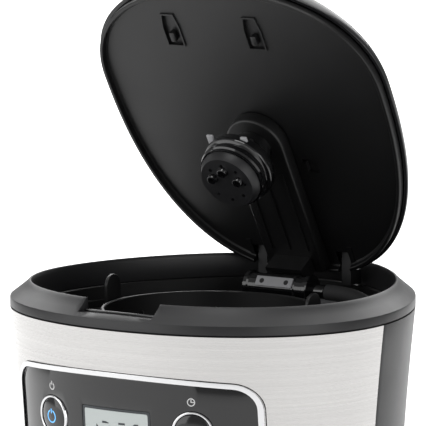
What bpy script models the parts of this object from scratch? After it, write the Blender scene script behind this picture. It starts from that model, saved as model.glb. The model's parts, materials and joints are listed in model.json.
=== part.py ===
"""Programmable drip coffee maker with a hinged lid, a lift-out basket and a glass carafe.

Metres, +Z up, the front looks along -Y. The feet stand on Z = 0 and the origin is under
the middle of the whole outline. The lid is built closed around its hinge and an empty on
the hinge's axis holds it open.
"""

import math

import bmesh
import bpy
from mathutils import Matrix, Vector

MM = 0.001

# Body outline in plan: an oval around the basket, widest at PLAN_Y, flatter in front than behind.
BREW_OFFSET = 4 * MM
BASKET_RIM_R = 60.5 * MM
SIDE_ROOM = 51.5 * MM
FRONT_ROOM = 37.5 * MM
REAR_ROOM = 72.5 * MM
HALF_WIDTH = BASKET_RIM_R + SIDE_ROOM
FRONT_DEPTH = BASKET_RIM_R - BREW_OFFSET + FRONT_ROOM
BACK_DEPTH = BASKET_RIM_R + BREW_OFFSET + REAR_ROOM
FRONT_POWER = 2.12
BACK_POWER = 1.8
PLAN_STEPS = 40

# Facets around turned pieces, by size.
LARGE_STEPS = 28
SMALL_STEPS = 16

# Heights.
FOOT_HEIGHT = 3 * MM
BASE_TOP = 40 * MM
HEAD_BOTTOM = 208 * MM
RIM_TOP = 350 * MM

# Body waist: the walls lean in below the rim, most at WAIST_Z.
WAIST_Z = 150 * MM
WAIST_INSET = 9.9 * MM

# Rim around the open top.
RIM_WIDTH = 11 * MM
RIM_SLOPE = 8.9 * MM
RIM_BAND = 5.2 * MM
RIM_SKIRT = 13.5 * MM
NOTCH_HALF_WIDTH = 23.5 * MM
NOTCH_REACH = 7.5 * MM
NOTCH_DEPTH = 6.8 * MM

# Feet, from the body's middle line and its widest section.
FOOT_R = 9 * MM
FRONT_FOOT = (HALF_WIDTH - 44 * MM, 52 * MM - FRONT_DEPTH)
REAR_FOOT = (HALF_WIDTH - 60 * MM, BACK_DEPTH - 63 * MM)

# Walls and clearances.
GAP = 0.3 * MM
WALL = 2.2 * MM
SHEET = 0.8 * MM
LINER_WALL = 2.0 * MM
COLUMN_WALL = 1.7 * MM
FLOOR_WALL = 2.9 * MM

# Basket and brewing axis.
BASKET_FLANGE_R = BASKET_RIM_R + 7 * MM
BASKET_FLAT = BASKET_RIM_R + 2.5 * MM
BASKET_FLOOR = HEAD_BOTTOM + 32 * MM
NECK_BOTTOM = HEAD_BOTTOM + 6 * MM
BASKET_DROP = 14.6 * MM
DECK_DROP = 25.7 * MM
DECK_WALL = 2.0 * MM
CHAMBER_R = BASKET_RIM_R + 5.5 * MM
NECK_R = 13 * MM
PLUNGER_R = 5.6 * MM
COLUMN_FACE = BREW_OFFSET + CHAMBER_R + 2 * MM

# Water tank.
TANK_INSET = 13 * MM
TANK_WALL = 2.0 * MM
TANK_BOTTOM = 60 * MM
TANK_FRONT_DROP = 30 * MM
RISER_X = 61 * MM
RISER_Y = BACK_DEPTH - 53 * MM
RISER_R = 4.5 * MM
RISER_TOP = RIM_TOP - 45 * MM

# Lid, closed: an oval widest at LID_OFFSET, cut straight behind the hinge.
LID_HALF_WIDTH = HALF_WIDTH - 19.5 * MM
LID_OFFSET = -15.8 * MM
LID_FRONT = FRONT_DEPTH - 27.7 * MM
LID_BACK = BACK_DEPTH - 1.6 * MM
LID_FRONT_POWER = 2.2
LID_BACK_POWER = 2.35
LID_WALL = 2.0 * MM
LID_CROWN = 14.5 * MM
LID_EDGE = 0.6 * MM
LID_UNDERSIDE = -4.3 * MM
LINER_FACE = -0.5 * MM
HINGE_OFFSET = BACK_DEPTH - 30.6 * MM
HINGE_RISE = 6.1 * MM
HINGE_TAIL = 10 * MM
OPEN_ANGLE = math.radians(58.4)
HINGE_PIN_R = 1.6 * MM
HINGE_EAR_R = 3.5 * MM
HINGE_EAR_X = (25 * MM, 31 * MM)
DUCT_HALF_WIDTH = 18 * MM
DUCT_DEPTH = 8.5 * MM
SPRAY_OFFSET = 22 * MM
SPRAY_R = 21 * MM
BARREL_OFFSET = HINGE_OFFSET + 1.5 * MM
BARREL_DROP = 28.6 * MM
BARREL_R = 9 * MM
BARREL_LENGTH = 42 * MM
SPIGOT = 9 * MM

# Control panel, on the front face.
PANEL_HALF_WIDTH = 75.5 * MM
PANEL_TOP = RIM_TOP - 39.5 * MM
PANEL_BOTTOM = HEAD_BOTTOM + 28 * MM
PANEL_CORNER = 10 * MM
PANEL_DROOP = 3.4 * MM
BEZEL = 2.8 * MM
BEZEL_PROUD = 1.3 * MM
PANEL_PROUD = 0.2 * MM
PANEL_WALL = 3.1 * MM
SCREEN_HALF_WIDTH = 21.5 * MM
SCREEN_TOP = PANEL_TOP - 17 * MM
SCREEN_BOTTOM = SCREEN_TOP - 25 * MM
ROUND_X = 44.5 * MM
ROUND_Z = PANEL_TOP - 26.5 * MM
ROUND_RING_R = 11.5 * MM
ROUND_RING_WIDTH = 1.3 * MM
SMALL_X = 13 * MM
SMALL_Z = PANEL_BOTTOM + 14 * MM
SMALL_R = 5.5 * MM
BUTTON_TRAVEL = 1.2 * MM

# Warming plate and carafe.
PLATE_R = 60 * MM
PLATE_TOP = 41.9 * MM
CARAFE_R = 63 * MM
CARAFE_TOP = HEAD_BOTTOM - 37 * MM
CARAFE_NECK_R = 49.5 * MM
GLASS = 2.2 * MM
BAND_HEIGHT = 12 * MM
HANDLE_REACH = 103 * MM
HANDLE_WIDTH = 22 * MM
HANDLE_THICKNESS = 13 * MM
HUB_TOP = HEAD_BOTTOM - 5 * MM

# The origin is under the middle between the handle's front and the body's back.
PLAN_Y = (HANDLE_REACH - BREW_OFFSET - BACK_DEPTH) / 2
BREW_Y = PLAN_Y + BREW_OFFSET
HINGE_Y = PLAN_Y + HINGE_OFFSET
HINGE_Z = RIM_TOP + HINGE_RISE
BAND_BOTTOM = RIM_TOP - RIM_SLOPE - RIM_BAND
DECK_TOP = RIM_TOP - DECK_DROP
FLOOR_TOP = HEAD_BOTTOM + FLOOR_WALL + 0.4 * MM

FINISHES = {
    "black_plastic": ((0.022, 0.022, 0.024), 0.45, 0.0),
    "black_gloss": ((0.016, 0.016, 0.019), 0.12, 0.0),
    "black_matte": ((0.012, 0.012, 0.013), 0.6, 0.0),
    "steel": ((0.62, 0.62, 0.61), 0.28, 1.0),
    "chrome": ((0.8, 0.8, 0.8), 0.1, 1.0),
    "aluminium": ((0.7, 0.7, 0.7), 0.4, 1.0),
    "heater": ((0.35, 0.34, 0.33), 0.5, 1.0),
    "rubber": ((0.03, 0.03, 0.03), 0.8, 0.0),
    "silicone": ((0.75, 0.74, 0.7), 0.5, 0.0),
    "glass": ((0.9, 0.93, 0.92), 0.03, 0.0),
    "screen": ((0.6, 0.63, 0.62), 0.2, 0.0),
    "board_green": ((0.03, 0.2, 0.07), 0.5, 0.0),
    "grey_plastic": ((0.35, 0.35, 0.36), 0.4, 0.0),
    "white_plastic": ((0.8, 0.8, 0.78), 0.4, 0.0),
    "plate_coating": ((0.03, 0.03, 0.03), 0.35, 0.6),
}


def clear_scene():
    """Remove every object, so the script can be run again."""
    for old in list(bpy.data.objects):
        bpy.data.objects.remove(old, do_unlink=True)


def new_collection(name):
    """Make a collection in the scene."""
    made = bpy.data.collections.new(name)
    bpy.context.scene.collection.children.link(made)
    return made


clear_scene()
PARTS = new_collection("drip_coffee_maker")
CUTTERS = new_collection("cutters")


def material(name):
    """The Principled material of one finish, made once."""
    found = bpy.data.materials.get(name)
    if found:
        return found
    colour, roughness, metallic = FINISHES[name]
    made = bpy.data.materials.new(name)
    made.use_nodes = True
    shader = made.node_tree.nodes["Principled BSDF"]
    shader.inputs["Base Color"].default_value = (*colour, 1.0)
    shader.inputs["Roughness"].default_value = roughness
    shader.inputs["Metallic"].default_value = metallic
    made.diffuse_color = (*colour, 1.0)
    return made


def new_object(name, data, finish, parent=None):
    """Link an object to its collection: a cutter has no finish."""
    made = bpy.data.objects.new(name, data)
    if finish:
        data.materials.append(material(finish))
        PARTS.objects.link(made)
    else:
        CUTTERS.objects.link(made)
        made.hide_render = True
        made.display_type = "WIRE"
    made.parent = parent
    return made


def object_from(bm, name, finish, parent=None):
    """Turn a bmesh into an object, with its faces pointing out and its curves smooth."""
    bmesh.ops.recalc_face_normals(bm, faces=bm.faces)
    if bm.calc_volume(signed=True) < 0:
        bmesh.ops.reverse_faces(bm, faces=bm.faces)
    mesh = bpy.data.meshes.new(name)
    bm.to_mesh(mesh)
    bm.free()
    mesh.shade_smooth()
    mesh.set_sharp_from_angle(angle=math.radians(35))
    return new_object(name, mesh, finish, parent)


def boolean(target, tool, operation="DIFFERENCE"):
    """Cut one object with another."""
    step = target.modifiers.new(tool.name, "BOOLEAN")
    step.operation = operation
    step.solver = "EXACT"
    step.object = tool


def bevel(target, width, segments=2):
    """Round the edges of an object."""
    step = target.modifiers.new("rounding", "BEVEL")
    step.width = width
    step.segments = segments
    step.limit_method = "ANGLE"
    step.angle_limit = math.radians(40)


# Shapes


def box(name, low, high, finish=None, parent=None):
    """A box between two corners."""
    bm = bmesh.new()
    middle = (Vector(low) + Vector(high)) / 2
    size = Vector(high) - Vector(low)
    place = Matrix.Translation(middle) @ Matrix.Diagonal((*size, 1.0))
    bmesh.ops.create_cube(bm, size=1.0, matrix=place)
    return object_from(bm, name, finish, parent)


def rod(name, start, end, radius, finish=None, parent=None, sides=SMALL_STEPS):
    """A cylinder between two points."""
    start, end = Vector(start), Vector(end)
    turn = (end - start).to_track_quat("Z", "Y").to_matrix().to_4x4()
    place = Matrix.Translation((start + end) / 2) @ turn
    bm = bmesh.new()
    bmesh.ops.create_cone(
        bm, cap_ends=True, segments=sides, radius1=radius, radius2=radius,
        depth=(end - start).length, matrix=place,
    )
    return object_from(bm, name, finish, parent)


def turned(name, profile, finish=None, closed=True, steps=SMALL_STEPS, parent=None):
    """Turn a profile of (radius, height), listed down its outer side, about the object's Z."""
    bm = bmesh.new()
    verts = [bm.verts.new((radius, 0.0, height)) for radius, height in profile]
    for first, second in zip(verts, verts[1:]):
        bm.edges.new((first, second))
    if closed:
        bm.edges.new((verts[-1], verts[0]))
    mesh = bpy.data.meshes.new(name)
    bm.to_mesh(mesh)
    bm.free()
    made = new_object(name, mesh, finish, parent)
    screw = made.modifiers.new("turn", "SCREW")
    screw.steps = steps
    screw.render_steps = steps
    screw.use_merge_vertices = True
    screw.merge_threshold = 0.01 * MM
    screw.use_smooth_shade = True
    return made


def prism(name, outline, axis, start, end, finish=None, parent=None):
    """Push a flat outline along X or Y: it is listed as (Y, Z) or (X, Z)."""
    bm = bmesh.new()
    if axis == "X":
        verts = [bm.verts.new((start, u, v)) for u, v in outline]
        push = Vector((end - start, 0, 0))
    else:
        verts = [bm.verts.new((u, start, v)) for u, v in outline]
        push = Vector((0, end - start, 0))
    face = bm.faces.new(verts)
    grown = bmesh.ops.extrude_face_region(bm, geom=[face])["geom"]
    bmesh.ops.translate(bm, vec=push, verts=[v for v in grown if isinstance(v, bmesh.types.BMVert)])
    return object_from(bm, name, finish, parent)


def tube(name, points, radius, finish, resolution=2):
    """A round tube along a list of points."""
    curve = bpy.data.curves.new(name, "CURVE")
    curve.dimensions = "3D"
    curve.bevel_depth = radius
    curve.bevel_resolution = resolution
    curve.use_fill_caps = True
    spline = curve.splines.new("POLY")
    spline.points.add(len(points) - 1)
    for spot, place in zip(spline.points, points):
        spot.co = (*place, 1.0)
    return new_object(name, curve, finish)


def bent_route(corners, radius, steps=4):
    """Points along straight runs whose corners are rounded."""
    corners = [Vector(c) for c in corners]
    route = [corners[0]]
    for before, corner, after in zip(corners, corners[1:], corners[2:]):
        into = (before - corner).normalized() * radius
        out = (after - corner).normalized() * radius
        for step in range(steps + 1):
            t = step / steps
            route.append(corner + into * (1 - t) ** 2 + out * t ** 2)
    route.append(corners[-1])
    return route


def stack(name, loops, finish=None, closed=False, parent=None):
    """Skin a pile of outlines, each (points, height): closed joins the last to the first."""
    bm = bmesh.new()
    rings = [[bm.verts.new((x, y, height)) for x, y in points] for points, height in loops]
    pairs = list(zip(rings, rings[1:]))
    if closed:
        pairs.append((rings[-1], rings[0]))
    else:
        bm.faces.new(rings[0])
        bm.faces.new(rings[-1])
    for low, high in pairs:
        for step in range(len(low)):
            bm.faces.new((low[step - 1], low[step], high[step], high[step - 1]))
    return object_from(bm, name, finish, parent)


def oval(half_width, front, back, powers, middle, limit=None):
    """An outline that is one superellipse in front of its widest section and another behind."""
    points = []
    for step in range(PLAN_STEPS):
        angle = 2 * math.pi * step / PLAN_STEPS
        across, along = math.cos(angle), math.sin(angle)
        depth, power = (back, powers[1]) if along > 0 else (front, powers[0])
        x = math.copysign(abs(across) ** (2 / power), across) * half_width
        y = math.copysign(abs(along) ** (2 / power), along) * depth + middle
        points.append((x, y if limit is None else min(y, limit)))
    return points


def waist(z):
    """How far the body's wall leans in at a height."""
    rise = min((z - WAIST_Z) / (BAND_BOTTOM - WAIST_Z), 1.0)
    return WAIST_INSET * (1 - rise ** 2)


def body_oval(inset):
    """The body's outline, moved in by a distance."""
    powers = (FRONT_POWER, BACK_POWER)
    return oval(HALF_WIDTH - inset, FRONT_DEPTH - inset, BACK_DEPTH - inset, powers, PLAN_Y)


def levels(low, high, spacing=36 * MM):
    """Heights from low to high, close enough to follow the waist."""
    count = max(1, round((high - low) / spacing))
    return [low + (high - low) * step / count for step in range(count + 1)]


def body_solid(name, inset, low, high, finish=None):
    """The space inside the body's wall, between two heights."""
    return stack(name, [(body_oval(waist(z) + inset), z) for z in levels(low, high)], finish)


def body_wall(name, outer, inner, low, high, finish=None):
    """A wall that follows the body's face, between two depths under it."""
    rising = [(body_oval(waist(z) + outer), z) for z in levels(low, high)]
    falling = [(body_oval(waist(z) + inner), z) for z in reversed(levels(low, high))]
    return stack(name, rising + falling, finish, closed=True)


def half_space(name, low_y, high_y, low_z=-1.0, high_z=1.0, low_x=-1.0, high_x=1.0):
    """A big cutter box, with Y measured from the body's widest section."""
    return box(name, (low_x, PLAN_Y + low_y, low_z), (high_x, PLAN_Y + high_y, high_z))


def front_face(x, z, proud=0.0):
    """The point and the outward direction of the body's front face, at a place across it."""
    inset = waist(z) - proud
    wide, deep = HALF_WIDTH - inset, FRONT_DEPTH - inset
    across = abs(x) / wide
    y = -deep * (1 - across ** FRONT_POWER) ** (1 / FRONT_POWER)
    along = abs(y) / deep
    lean = -2 * WAIST_INSET * (z - WAIST_Z) / (BAND_BOTTOM - WAIST_Z) ** 2
    normal = Vector((
        math.copysign(across ** (FRONT_POWER - 1) / wide, x),
        -along ** (FRONT_POWER - 1) / deep,
        lean * (across ** FRONT_POWER / wide + along ** FRONT_POWER / deep),
    ))
    return Vector((x, PLAN_Y + y, z)), normal.normalized()


def on_face(made, x, z):
    """Stand an object on the front face, its Z pointing out."""
    point, normal = front_face(x, z, PANEL_PROUD)
    made.rotation_mode = "QUATERNION"
    made.rotation_quaternion = normal.to_track_quat("Z", "Y")
    made.location = point


def plate_outline(half_width, top, bottom, corner, droop):
    """A rounded rectangle whose long edges bow, as (X, Z)."""
    points = []
    corners = [
        (half_width - corner, top - corner, 0), (corner - half_width, top - corner, 1),
        (corner - half_width, bottom + corner, 2), (half_width - corner, bottom + corner, 3),
    ]
    for x, z, quarter in corners:
        for step in range(5):
            angle = math.pi / 2 * (quarter + step / 4)
            points.append((x + corner * math.cos(angle), z + corner * math.sin(angle)))
        if quarter in (0, 2):
            points += [(x * (1 - 2 * share), z + math.copysign(corner, 1 - quarter)) for share in
                       (0.2, 0.4, 0.6, 0.8)]
    middle = (top + bottom) / 2
    reach = half_width ** 2
    return [(x, z - math.copysign(droop * x * x / reach, z - middle)) for x, z in points]


# Base


def make_base():
    """The base: shell, cover, feet, warming plate and the heater under it."""
    top_edge = 2 * MM
    low = FOOT_HEIGHT
    outline = [(body_oval(waist(z)), z) for z in levels(low, BASE_TOP - top_edge, 12 * MM)]
    outline.append((body_oval(waist(BASE_TOP) + top_edge / 2), BASE_TOP))
    shell = stack("base_shell", outline, "black_plastic")
    cavity_top = BASE_TOP - WALL
    cavity = [(body_oval(waist(z) + WALL), z) for z in levels(-low, cavity_top, 12 * MM)]
    boolean(shell, stack("base_cavity", cavity))
    hole_r = PLATE_R + 4 * MM
    boolean(shell, rod("plate_hole", (0, BREW_Y, low), (0, BREW_Y, PLATE_TOP), hole_r, sides=LARGE_STEPS))

    cover_top = FOOT_HEIGHT + 2 * MM
    cover_inset = WALL + GAP
    stack("bottom_cover", [
        (body_oval(waist(low) + cover_inset), low),
        (body_oval(waist(low) + cover_inset), cover_top),
    ], "black_plastic")
    for side, sign in (("left", -1), ("right", 1)):
        for end, (spread, y) in (("front", FRONT_FOOT), ("rear", REAR_FOOT)):
            x, place = sign * spread, PLAN_Y + y
            rod(f"foot_{end}_{side}", (x, place, 0), (x, place, FOOT_HEIGHT - GAP), FOOT_R, "rubber")

    plate_low = BASE_TOP - WALL
    plate = turned("warming_plate", [
        (0, PLATE_TOP), (PLATE_R - 1 * MM, PLATE_TOP), (PLATE_R, PLATE_TOP - 1 * MM),
        (PLATE_R, plate_low), (0, plate_low),
    ], "plate_coating", closed=False, steps=LARGE_STEPS)
    seal_out, seal_in = hole_r - GAP, PLATE_R + GAP
    lip = BASE_TOP + GAP
    seal = turned("plate_gasket", [
        (seal_in, lip + 0.9 * MM), (seal_out + 2 * MM, lip + 0.9 * MM), (seal_out + 2.4 * MM, lip),
        (seal_out, lip), (seal_out, plate_low), (seal_in, plate_low),
    ], "rubber", steps=LARGE_STEPS)
    plate.location.y = seal.location.y = BREW_Y

    boiler_r, boiler_arc = 6.5 * MM, 41 * MM
    boiler_z = plate_low - GAP - boiler_r
    heater_r = 3.6 * MM
    heater_arc = boiler_arc - boiler_r - heater_r - GAP
    heater_z = plate_low - GAP - heater_r
    boiler_back = 58 * MM - BREW_OFFSET
    for name, radius, arc, z, finish in (
        ("boiler_tube", boiler_r, boiler_arc, boiler_z, "aluminium"),
        ("heater_element", heater_r, heater_arc, heater_z, "heater"),
    ):
        bend = [(arc * math.cos(a), BREW_Y - arc * math.sin(a), z)
                for a in (math.pi * step / 16 for step in range(17))]
        route = [(arc, BREW_Y + boiler_back, z)] + bend + [(-arc, BREW_Y + boiler_back, z)]
        tube(name, route, radius, finish)
    stat = box("thermostat", (-8 * MM, BREW_Y - 8 * MM, plate_low - 10 * MM),
               (8 * MM, BREW_Y + 8 * MM, plate_low - GAP), "white_plastic")
    bevel(stat, 1 * MM, 1)
    fuse_r, fuse_y = 2.6 * MM, BREW_Y + 20 * MM
    fuse_z = plate_low - GAP - fuse_r
    rod("thermal_fuse", (-13 * MM, fuse_y, fuse_z), (13 * MM, fuse_y, fuse_z), fuse_r, "chrome", sides=12)

    board_z = cover_top + GAP
    board_y = PLAN_Y + BACK_DEPTH - 25 * MM
    box("power_board", (-34 * MM, board_y - 36 * MM, board_z),
        (34 * MM, board_y, board_z + 1.6 * MM), "board_green")

    gland_z, gland_r = 20 * MM, 8 * MM
    wall_y = PLAN_Y + BACK_DEPTH - waist(gland_z - gland_r)
    gland = turned("cord_gland", [
        (3.5 * MM, 3.2 * MM), (7 * MM, 3.2 * MM), (gland_r, 2.2 * MM), (gland_r, GAP), (6 * MM, GAP),
        (6 * MM, -WALL - 5 * MM), (3.5 * MM, -WALL - 5 * MM),
    ], "rubber")
    gland.location = (0, wall_y, gland_z)
    gland.rotation_euler.x = -math.pi / 2
    boolean(shell, rod("gland_hole", (0, wall_y - 2 * WALL, gland_z), (0, wall_y + WALL, gland_z),
                       6 * MM + GAP))
    return shell, boiler_z, boiler_arc, boiler_back, boiler_r


def make_water_path(shell, boiler_z, boiler_arc, boiler_back, boiler_r):
    """Hoses: tank to boiler through a check valve, and boiler up to the head."""
    valve_x, valve_y = -30 * MM, PLAN_Y + BACK_DEPTH - 42 * MM
    valve_low = BASE_TOP + 4 * MM
    valve_r = 7 * MM
    valve = turned("check_valve", [
        (0, TANK_BOTTOM - GAP), (valve_r - 2 * MM, TANK_BOTTOM - GAP), (valve_r - 2 * MM, valve_low + 12 * MM),
        (valve_r, valve_low + 10 * MM), (valve_r, valve_low + 3 * MM), (4 * MM, valve_low), (0, valve_low),
    ], "white_plastic", closed=False)
    valve.location = (valve_x, valve_y, 0)
    end_y = BREW_Y + boiler_back + GAP
    tube("inlet_hose", bent_route([
        (valve_x, valve_y, valve_low - GAP), (valve_x, valve_y, boiler_z),
        (-boiler_arc, valve_y - 21 * MM, boiler_z), (-boiler_arc, end_y, boiler_z),
    ], 7 * MM), RISER_R, "silicone")
    rise_y = PLAN_Y + RISER_Y
    tube("riser_tube", bent_route([
        (boiler_arc, end_y, boiler_z), (boiler_arc, PLAN_Y + 70 * MM, boiler_z),
        (RISER_X, rise_y, boiler_z), (RISER_X, rise_y, RISER_TOP),
    ], 8 * MM), RISER_R, "silicone")
    for name, x, y in (("inlet_hole", valve_x, valve_y), ("riser_hole", RISER_X, rise_y)):
        boolean(shell, rod(name, (x, y, boiler_z), (x, y, BASE_TOP + WALL), RISER_R + 2 * MM, sides=16))


# Body


def make_body():
    """The shells of the column and the head, with the water gauge and the tank."""
    top = BAND_BOTTOM - GAP
    rear = body_wall("rear_housing", 0, WALL, BASE_TOP + GAP, top, "black_plastic")
    boolean(rear, half_space("ahead_of_seam", -1, GAP / 2))
    boolean(rear, half_space("carafe_bay", -0.5, COLUMN_FACE, -1, HEAD_BOTTOM))

    column = body_solid("column_front", WALL + GAP, BASE_TOP + GAP, HEAD_BOTTOM - GAP, "black_plastic")
    column_back = COLUMN_FACE + COLUMN_WALL
    boolean(column, half_space("column_slice", COLUMN_FACE + GAP, column_back), "INTERSECT")

    steel = body_wall("steel_band", 0, SHEET, HEAD_BOTTOM, top, "steel")
    boolean(steel, half_space("steel_half", -1, -GAP / 2), "INTERSECT")
    liner_out = SHEET + GAP
    liner_in = liner_out + LINER_WALL
    liner = body_wall("front_shell", liner_out, liner_in, HEAD_BOTTOM, top, "black_plastic")
    boolean(liner, half_space("liner_half", -1, -GAP / 2), "INTERSECT")

    floor = body_solid("head_floor", liner_in + GAP, HEAD_BOTTOM + 0.4 * MM, FLOOR_TOP, "black_plastic")
    boolean(floor, half_space("floor_part", -1, column_back), "INTERSECT")
    drip_hole_r = NECK_R + 2 * MM
    boolean(floor, rod("drip_hole", (0, BREW_Y, HEAD_BOTTOM - WALL), (0, BREW_Y, FLOOR_TOP + WALL),
                       drip_hole_r))

    make_gauge(rear)
    make_tank(column_back + GAP)
    return steel, liner, liner_in, drip_hole_r


def make_gauge(rear):
    """The clear water gauge: a strip let into the rear housing beside the tank."""
    angle, reach = math.radians(40), 200 * MM
    half, low, high = 7 * MM, TANK_BOTTOM + 20 * MM, RIM_TOP - 60 * MM
    cuts = []
    for name, grow in (("gauge_slot", GAP), ("gauge_shape", 0)):
        cut = box(name, (0, -half - grow, low - grow), (reach, half + grow, high + grow))
        cut.location = (0, PLAN_Y + 30 * MM, 0)
        cut.rotation_euler.z = angle
        cuts.append(cut)
    boolean(rear, cuts[0])
    gauge = body_wall("water_gauge", GAP, WALL, low - 10 * MM, high + 10 * MM, "glass")
    boolean(gauge, cuts[1], "INTERSECT")


def make_tank(front):
    """The water tank behind the column, open at the top, notched for the riser."""
    side = TANK_INSET + TANK_WALL
    tank = stack("water_tank", [(body_oval(TANK_INSET), TANK_BOTTOM), (body_oval(TANK_INSET), DECK_TOP)],
                 "grey_plastic")
    boolean(tank, half_space("tank_part", front, 1), "INTERSECT")
    notch_x = RISER_X - RISER_R - 1.5 * MM
    notch_y = RISER_Y + RISER_R + 2.5 * MM
    boolean(tank, half_space("riser_channel", -1, notch_y, low_x=notch_x))
    hollow = stack("tank_hollow", [
        (body_oval(side), TANK_BOTTOM + TANK_WALL), (body_oval(side), DECK_TOP + TANK_WALL),
    ])
    boolean(hollow, half_space("hollow_part", front + TANK_WALL, 1), "INTERSECT")
    boolean(hollow, half_space("hollow_channel", -1, notch_y + TANK_WALL, low_x=notch_x - TANK_WALL))
    boolean(tank, hollow)
    drop = RIM_TOP - TANK_FRONT_DROP
    boolean(tank, half_space("tank_lip", front - TANK_WALL, front + 2 * TANK_WALL, drop, RIM_TOP))


def make_rim():
    """The rim with its finger notch, and the inner wall under it."""
    skirt = RIM_WIDTH + LINER_WALL
    low = BAND_BOTTOM + GAP
    rim = stack("top_rim", [
        (body_oval(0), low), (body_oval(0), RIM_TOP - RIM_SLOPE),
        (body_oval(RIM_WIDTH - 1 * MM), RIM_TOP - 0.7 * MM), (body_oval(RIM_WIDTH), RIM_TOP),
        (body_oval(RIM_WIDTH + 0.8 * MM), RIM_TOP - 0.6 * MM), (body_oval(skirt), RIM_TOP - RIM_SKIRT),
        (body_oval(RIM_WIDTH - 1 * MM), RIM_TOP - RIM_SKIRT), (body_oval(RIM_WIDTH - 1 * MM), low),
    ], "black_plastic", closed=True)
    inner_edge = RIM_WIDTH - FRONT_DEPTH
    boolean(rim, half_space("finger_notch", inner_edge - NOTCH_REACH, inner_edge + 8 * MM,
                            RIM_TOP - NOTCH_DEPTH, 1, -NOTCH_HALF_WIDTH, NOTCH_HALF_WIDTH))
    collar_top = RIM_TOP - RIM_SKIRT - GAP
    collar_out, collar_in = body_oval(TANK_INSET), body_oval(TANK_INSET + TANK_WALL)
    stack("inner_wall", [
        (collar_out, DECK_TOP + GAP), (collar_out, collar_top), (collar_in, collar_top),
        (collar_in, DECK_TOP + GAP),
    ], "black_matte", closed=True)


def make_chamber(liner_in, drip_hole_r):
    """The deck that the basket hangs in, and the chamber around the basket."""
    deck_low = DECK_TOP - DECK_WALL
    deck = body_solid("inner_deck", liner_in + GAP, deck_low, DECK_TOP, "black_matte")
    boolean(deck, half_space("deck_part", -1, COLUMN_FACE + COLUMN_WALL), "INTERSECT")
    hole_r = BASKET_RIM_R + 3 * MM
    boolean(deck, rod("basket_hole", (0, BREW_Y, deck_low - WALL), (0, BREW_Y, DECK_TOP + WALL), hole_r,
                      sides=LARGE_STEPS))
    low = FLOOR_TOP + GAP
    inner = CHAMBER_R - LINER_WALL
    chamber = turned("brew_chamber", [
        (CHAMBER_R, deck_low - GAP), (CHAMBER_R, low), (drip_hole_r, low),
        (drip_hole_r, low + LINER_WALL), (inner, low + LINER_WALL), (inner, deck_low - GAP),
    ], "black_matte", steps=LARGE_STEPS)
    chamber.location.y = BREW_Y


# Basket


def make_basket():
    """The brew basket with its two lifting tabs, and the drip stop in its neck."""
    rim_z = RIM_TOP - BASKET_DROP
    flange = DECK_TOP + GAP
    wall = 2 * MM
    floor = BASKET_FLOOR
    neck_low = NECK_BOTTOM
    neck_in = NECK_R - 3 * MM
    lip_r = PLUNGER_R + 0.7 * MM
    basket = turned("brew_basket", [
        (BASKET_RIM_R, rim_z), (BASKET_RIM_R, flange + 1.6 * MM), (BASKET_FLANGE_R, flange + 1.6 * MM),
        (BASKET_FLANGE_R, flange), (BASKET_RIM_R + 1.6 * MM, flange), (BASKET_RIM_R - 5 * MM, floor + 12 * MM),
        (BASKET_RIM_R - 13 * MM, floor), (NECK_R, floor - 4 * MM), (NECK_R, neck_low), (lip_r, neck_low),
        (lip_r, neck_low + 2 * MM), (neck_in, neck_low + 2 * MM), (neck_in, floor - 2 * MM),
        (BASKET_RIM_R - 14 * MM, floor + wall), (BASKET_RIM_R - 5 * MM - wall, floor + 13 * MM),
        (BASKET_RIM_R - wall, flange + 1.6 * MM), (BASKET_RIM_R - wall, rim_z),
    ], "black_matte", steps=LARGE_STEPS)
    basket.location.y = BREW_Y
    boolean(basket, half_space("flange_flat", BREW_OFFSET + BASKET_FLAT, 1))
    tab_half, tab_top = 7 * MM, RIM_TOP - 1.3 * MM
    for side, sign in (("left", -1), ("right", 1)):
        low_x, high_x = sorted((sign * (BASKET_RIM_R + 4 * MM), sign * (BASKET_RIM_R + 6 * MM)))
        arc = [math.pi * step / 8 for step in range(9)]
        outline = [(tab_half, flange + 0.8 * MM)]
        outline += [(tab_half * math.cos(a), tab_top - tab_half + tab_half * math.sin(a)) for a in arc]
        outline += [(-tab_half, flange + 0.8 * MM)]
        tab = prism(f"{side}_tab", outline, "X", low_x, high_x)
        tab.location.y = BREW_Y
        boolean(basket, tab, "UNION")

    shelf = neck_low + 2 * MM + GAP
    seal_top = shelf + 1.5 * MM
    disc_low, disc_top = seal_top + GAP, seal_top + GAP + 2 * MM
    spring_r, cap_low = 6.5 * MM, neck_low + 18 * MM
    seal = turned("drip_stop_seal", [
        (neck_in - 0.6 * MM, seal_top), (neck_in - 0.6 * MM, shelf), (PLUNGER_R + GAP, shelf),
        (PLUNGER_R + GAP, seal_top),
    ], "rubber")
    plunger = turned("drip_stop_plunger", [
        (0, cap_low - 2 * MM), (2.5 * MM, cap_low - 2 * MM), (3 * MM, disc_top),
        (neck_in - 0.6 * MM, disc_top), (neck_in - 0.6 * MM, disc_low), (PLUNGER_R, disc_low),
        (PLUNGER_R, HUB_TOP + 1.5 * MM), (PLUNGER_R - 1 * MM, HUB_TOP + 0.5 * MM), (0, HUB_TOP + 0.5 * MM),
    ], "white_plastic", closed=False)
    cap = turned("drip_stop_cap", [
        (neck_in - GAP, cap_low + 2 * MM), (neck_in - GAP, cap_low), (4.6 * MM, cap_low),
        (4.6 * MM, cap_low + 2 * MM),
    ], "black_plastic")
    wire, turns, per_turn = 0.5 * MM, 4, 8
    start, rise = disc_top + GAP + wire, cap_low - GAP - wire - (disc_top + GAP + wire)
    steps = turns * per_turn
    coil = tube("drip_stop_spring", [
        (spring_r * math.cos(2 * math.pi * k / per_turn), spring_r * math.sin(2 * math.pi * k / per_turn),
         start + rise * k / steps) for k in range(steps + 1)
    ], wire, "chrome", resolution=1)
    for made in (seal, plunger, cap, coil):
        made.location.y = BREW_Y


# Control panel


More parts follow.
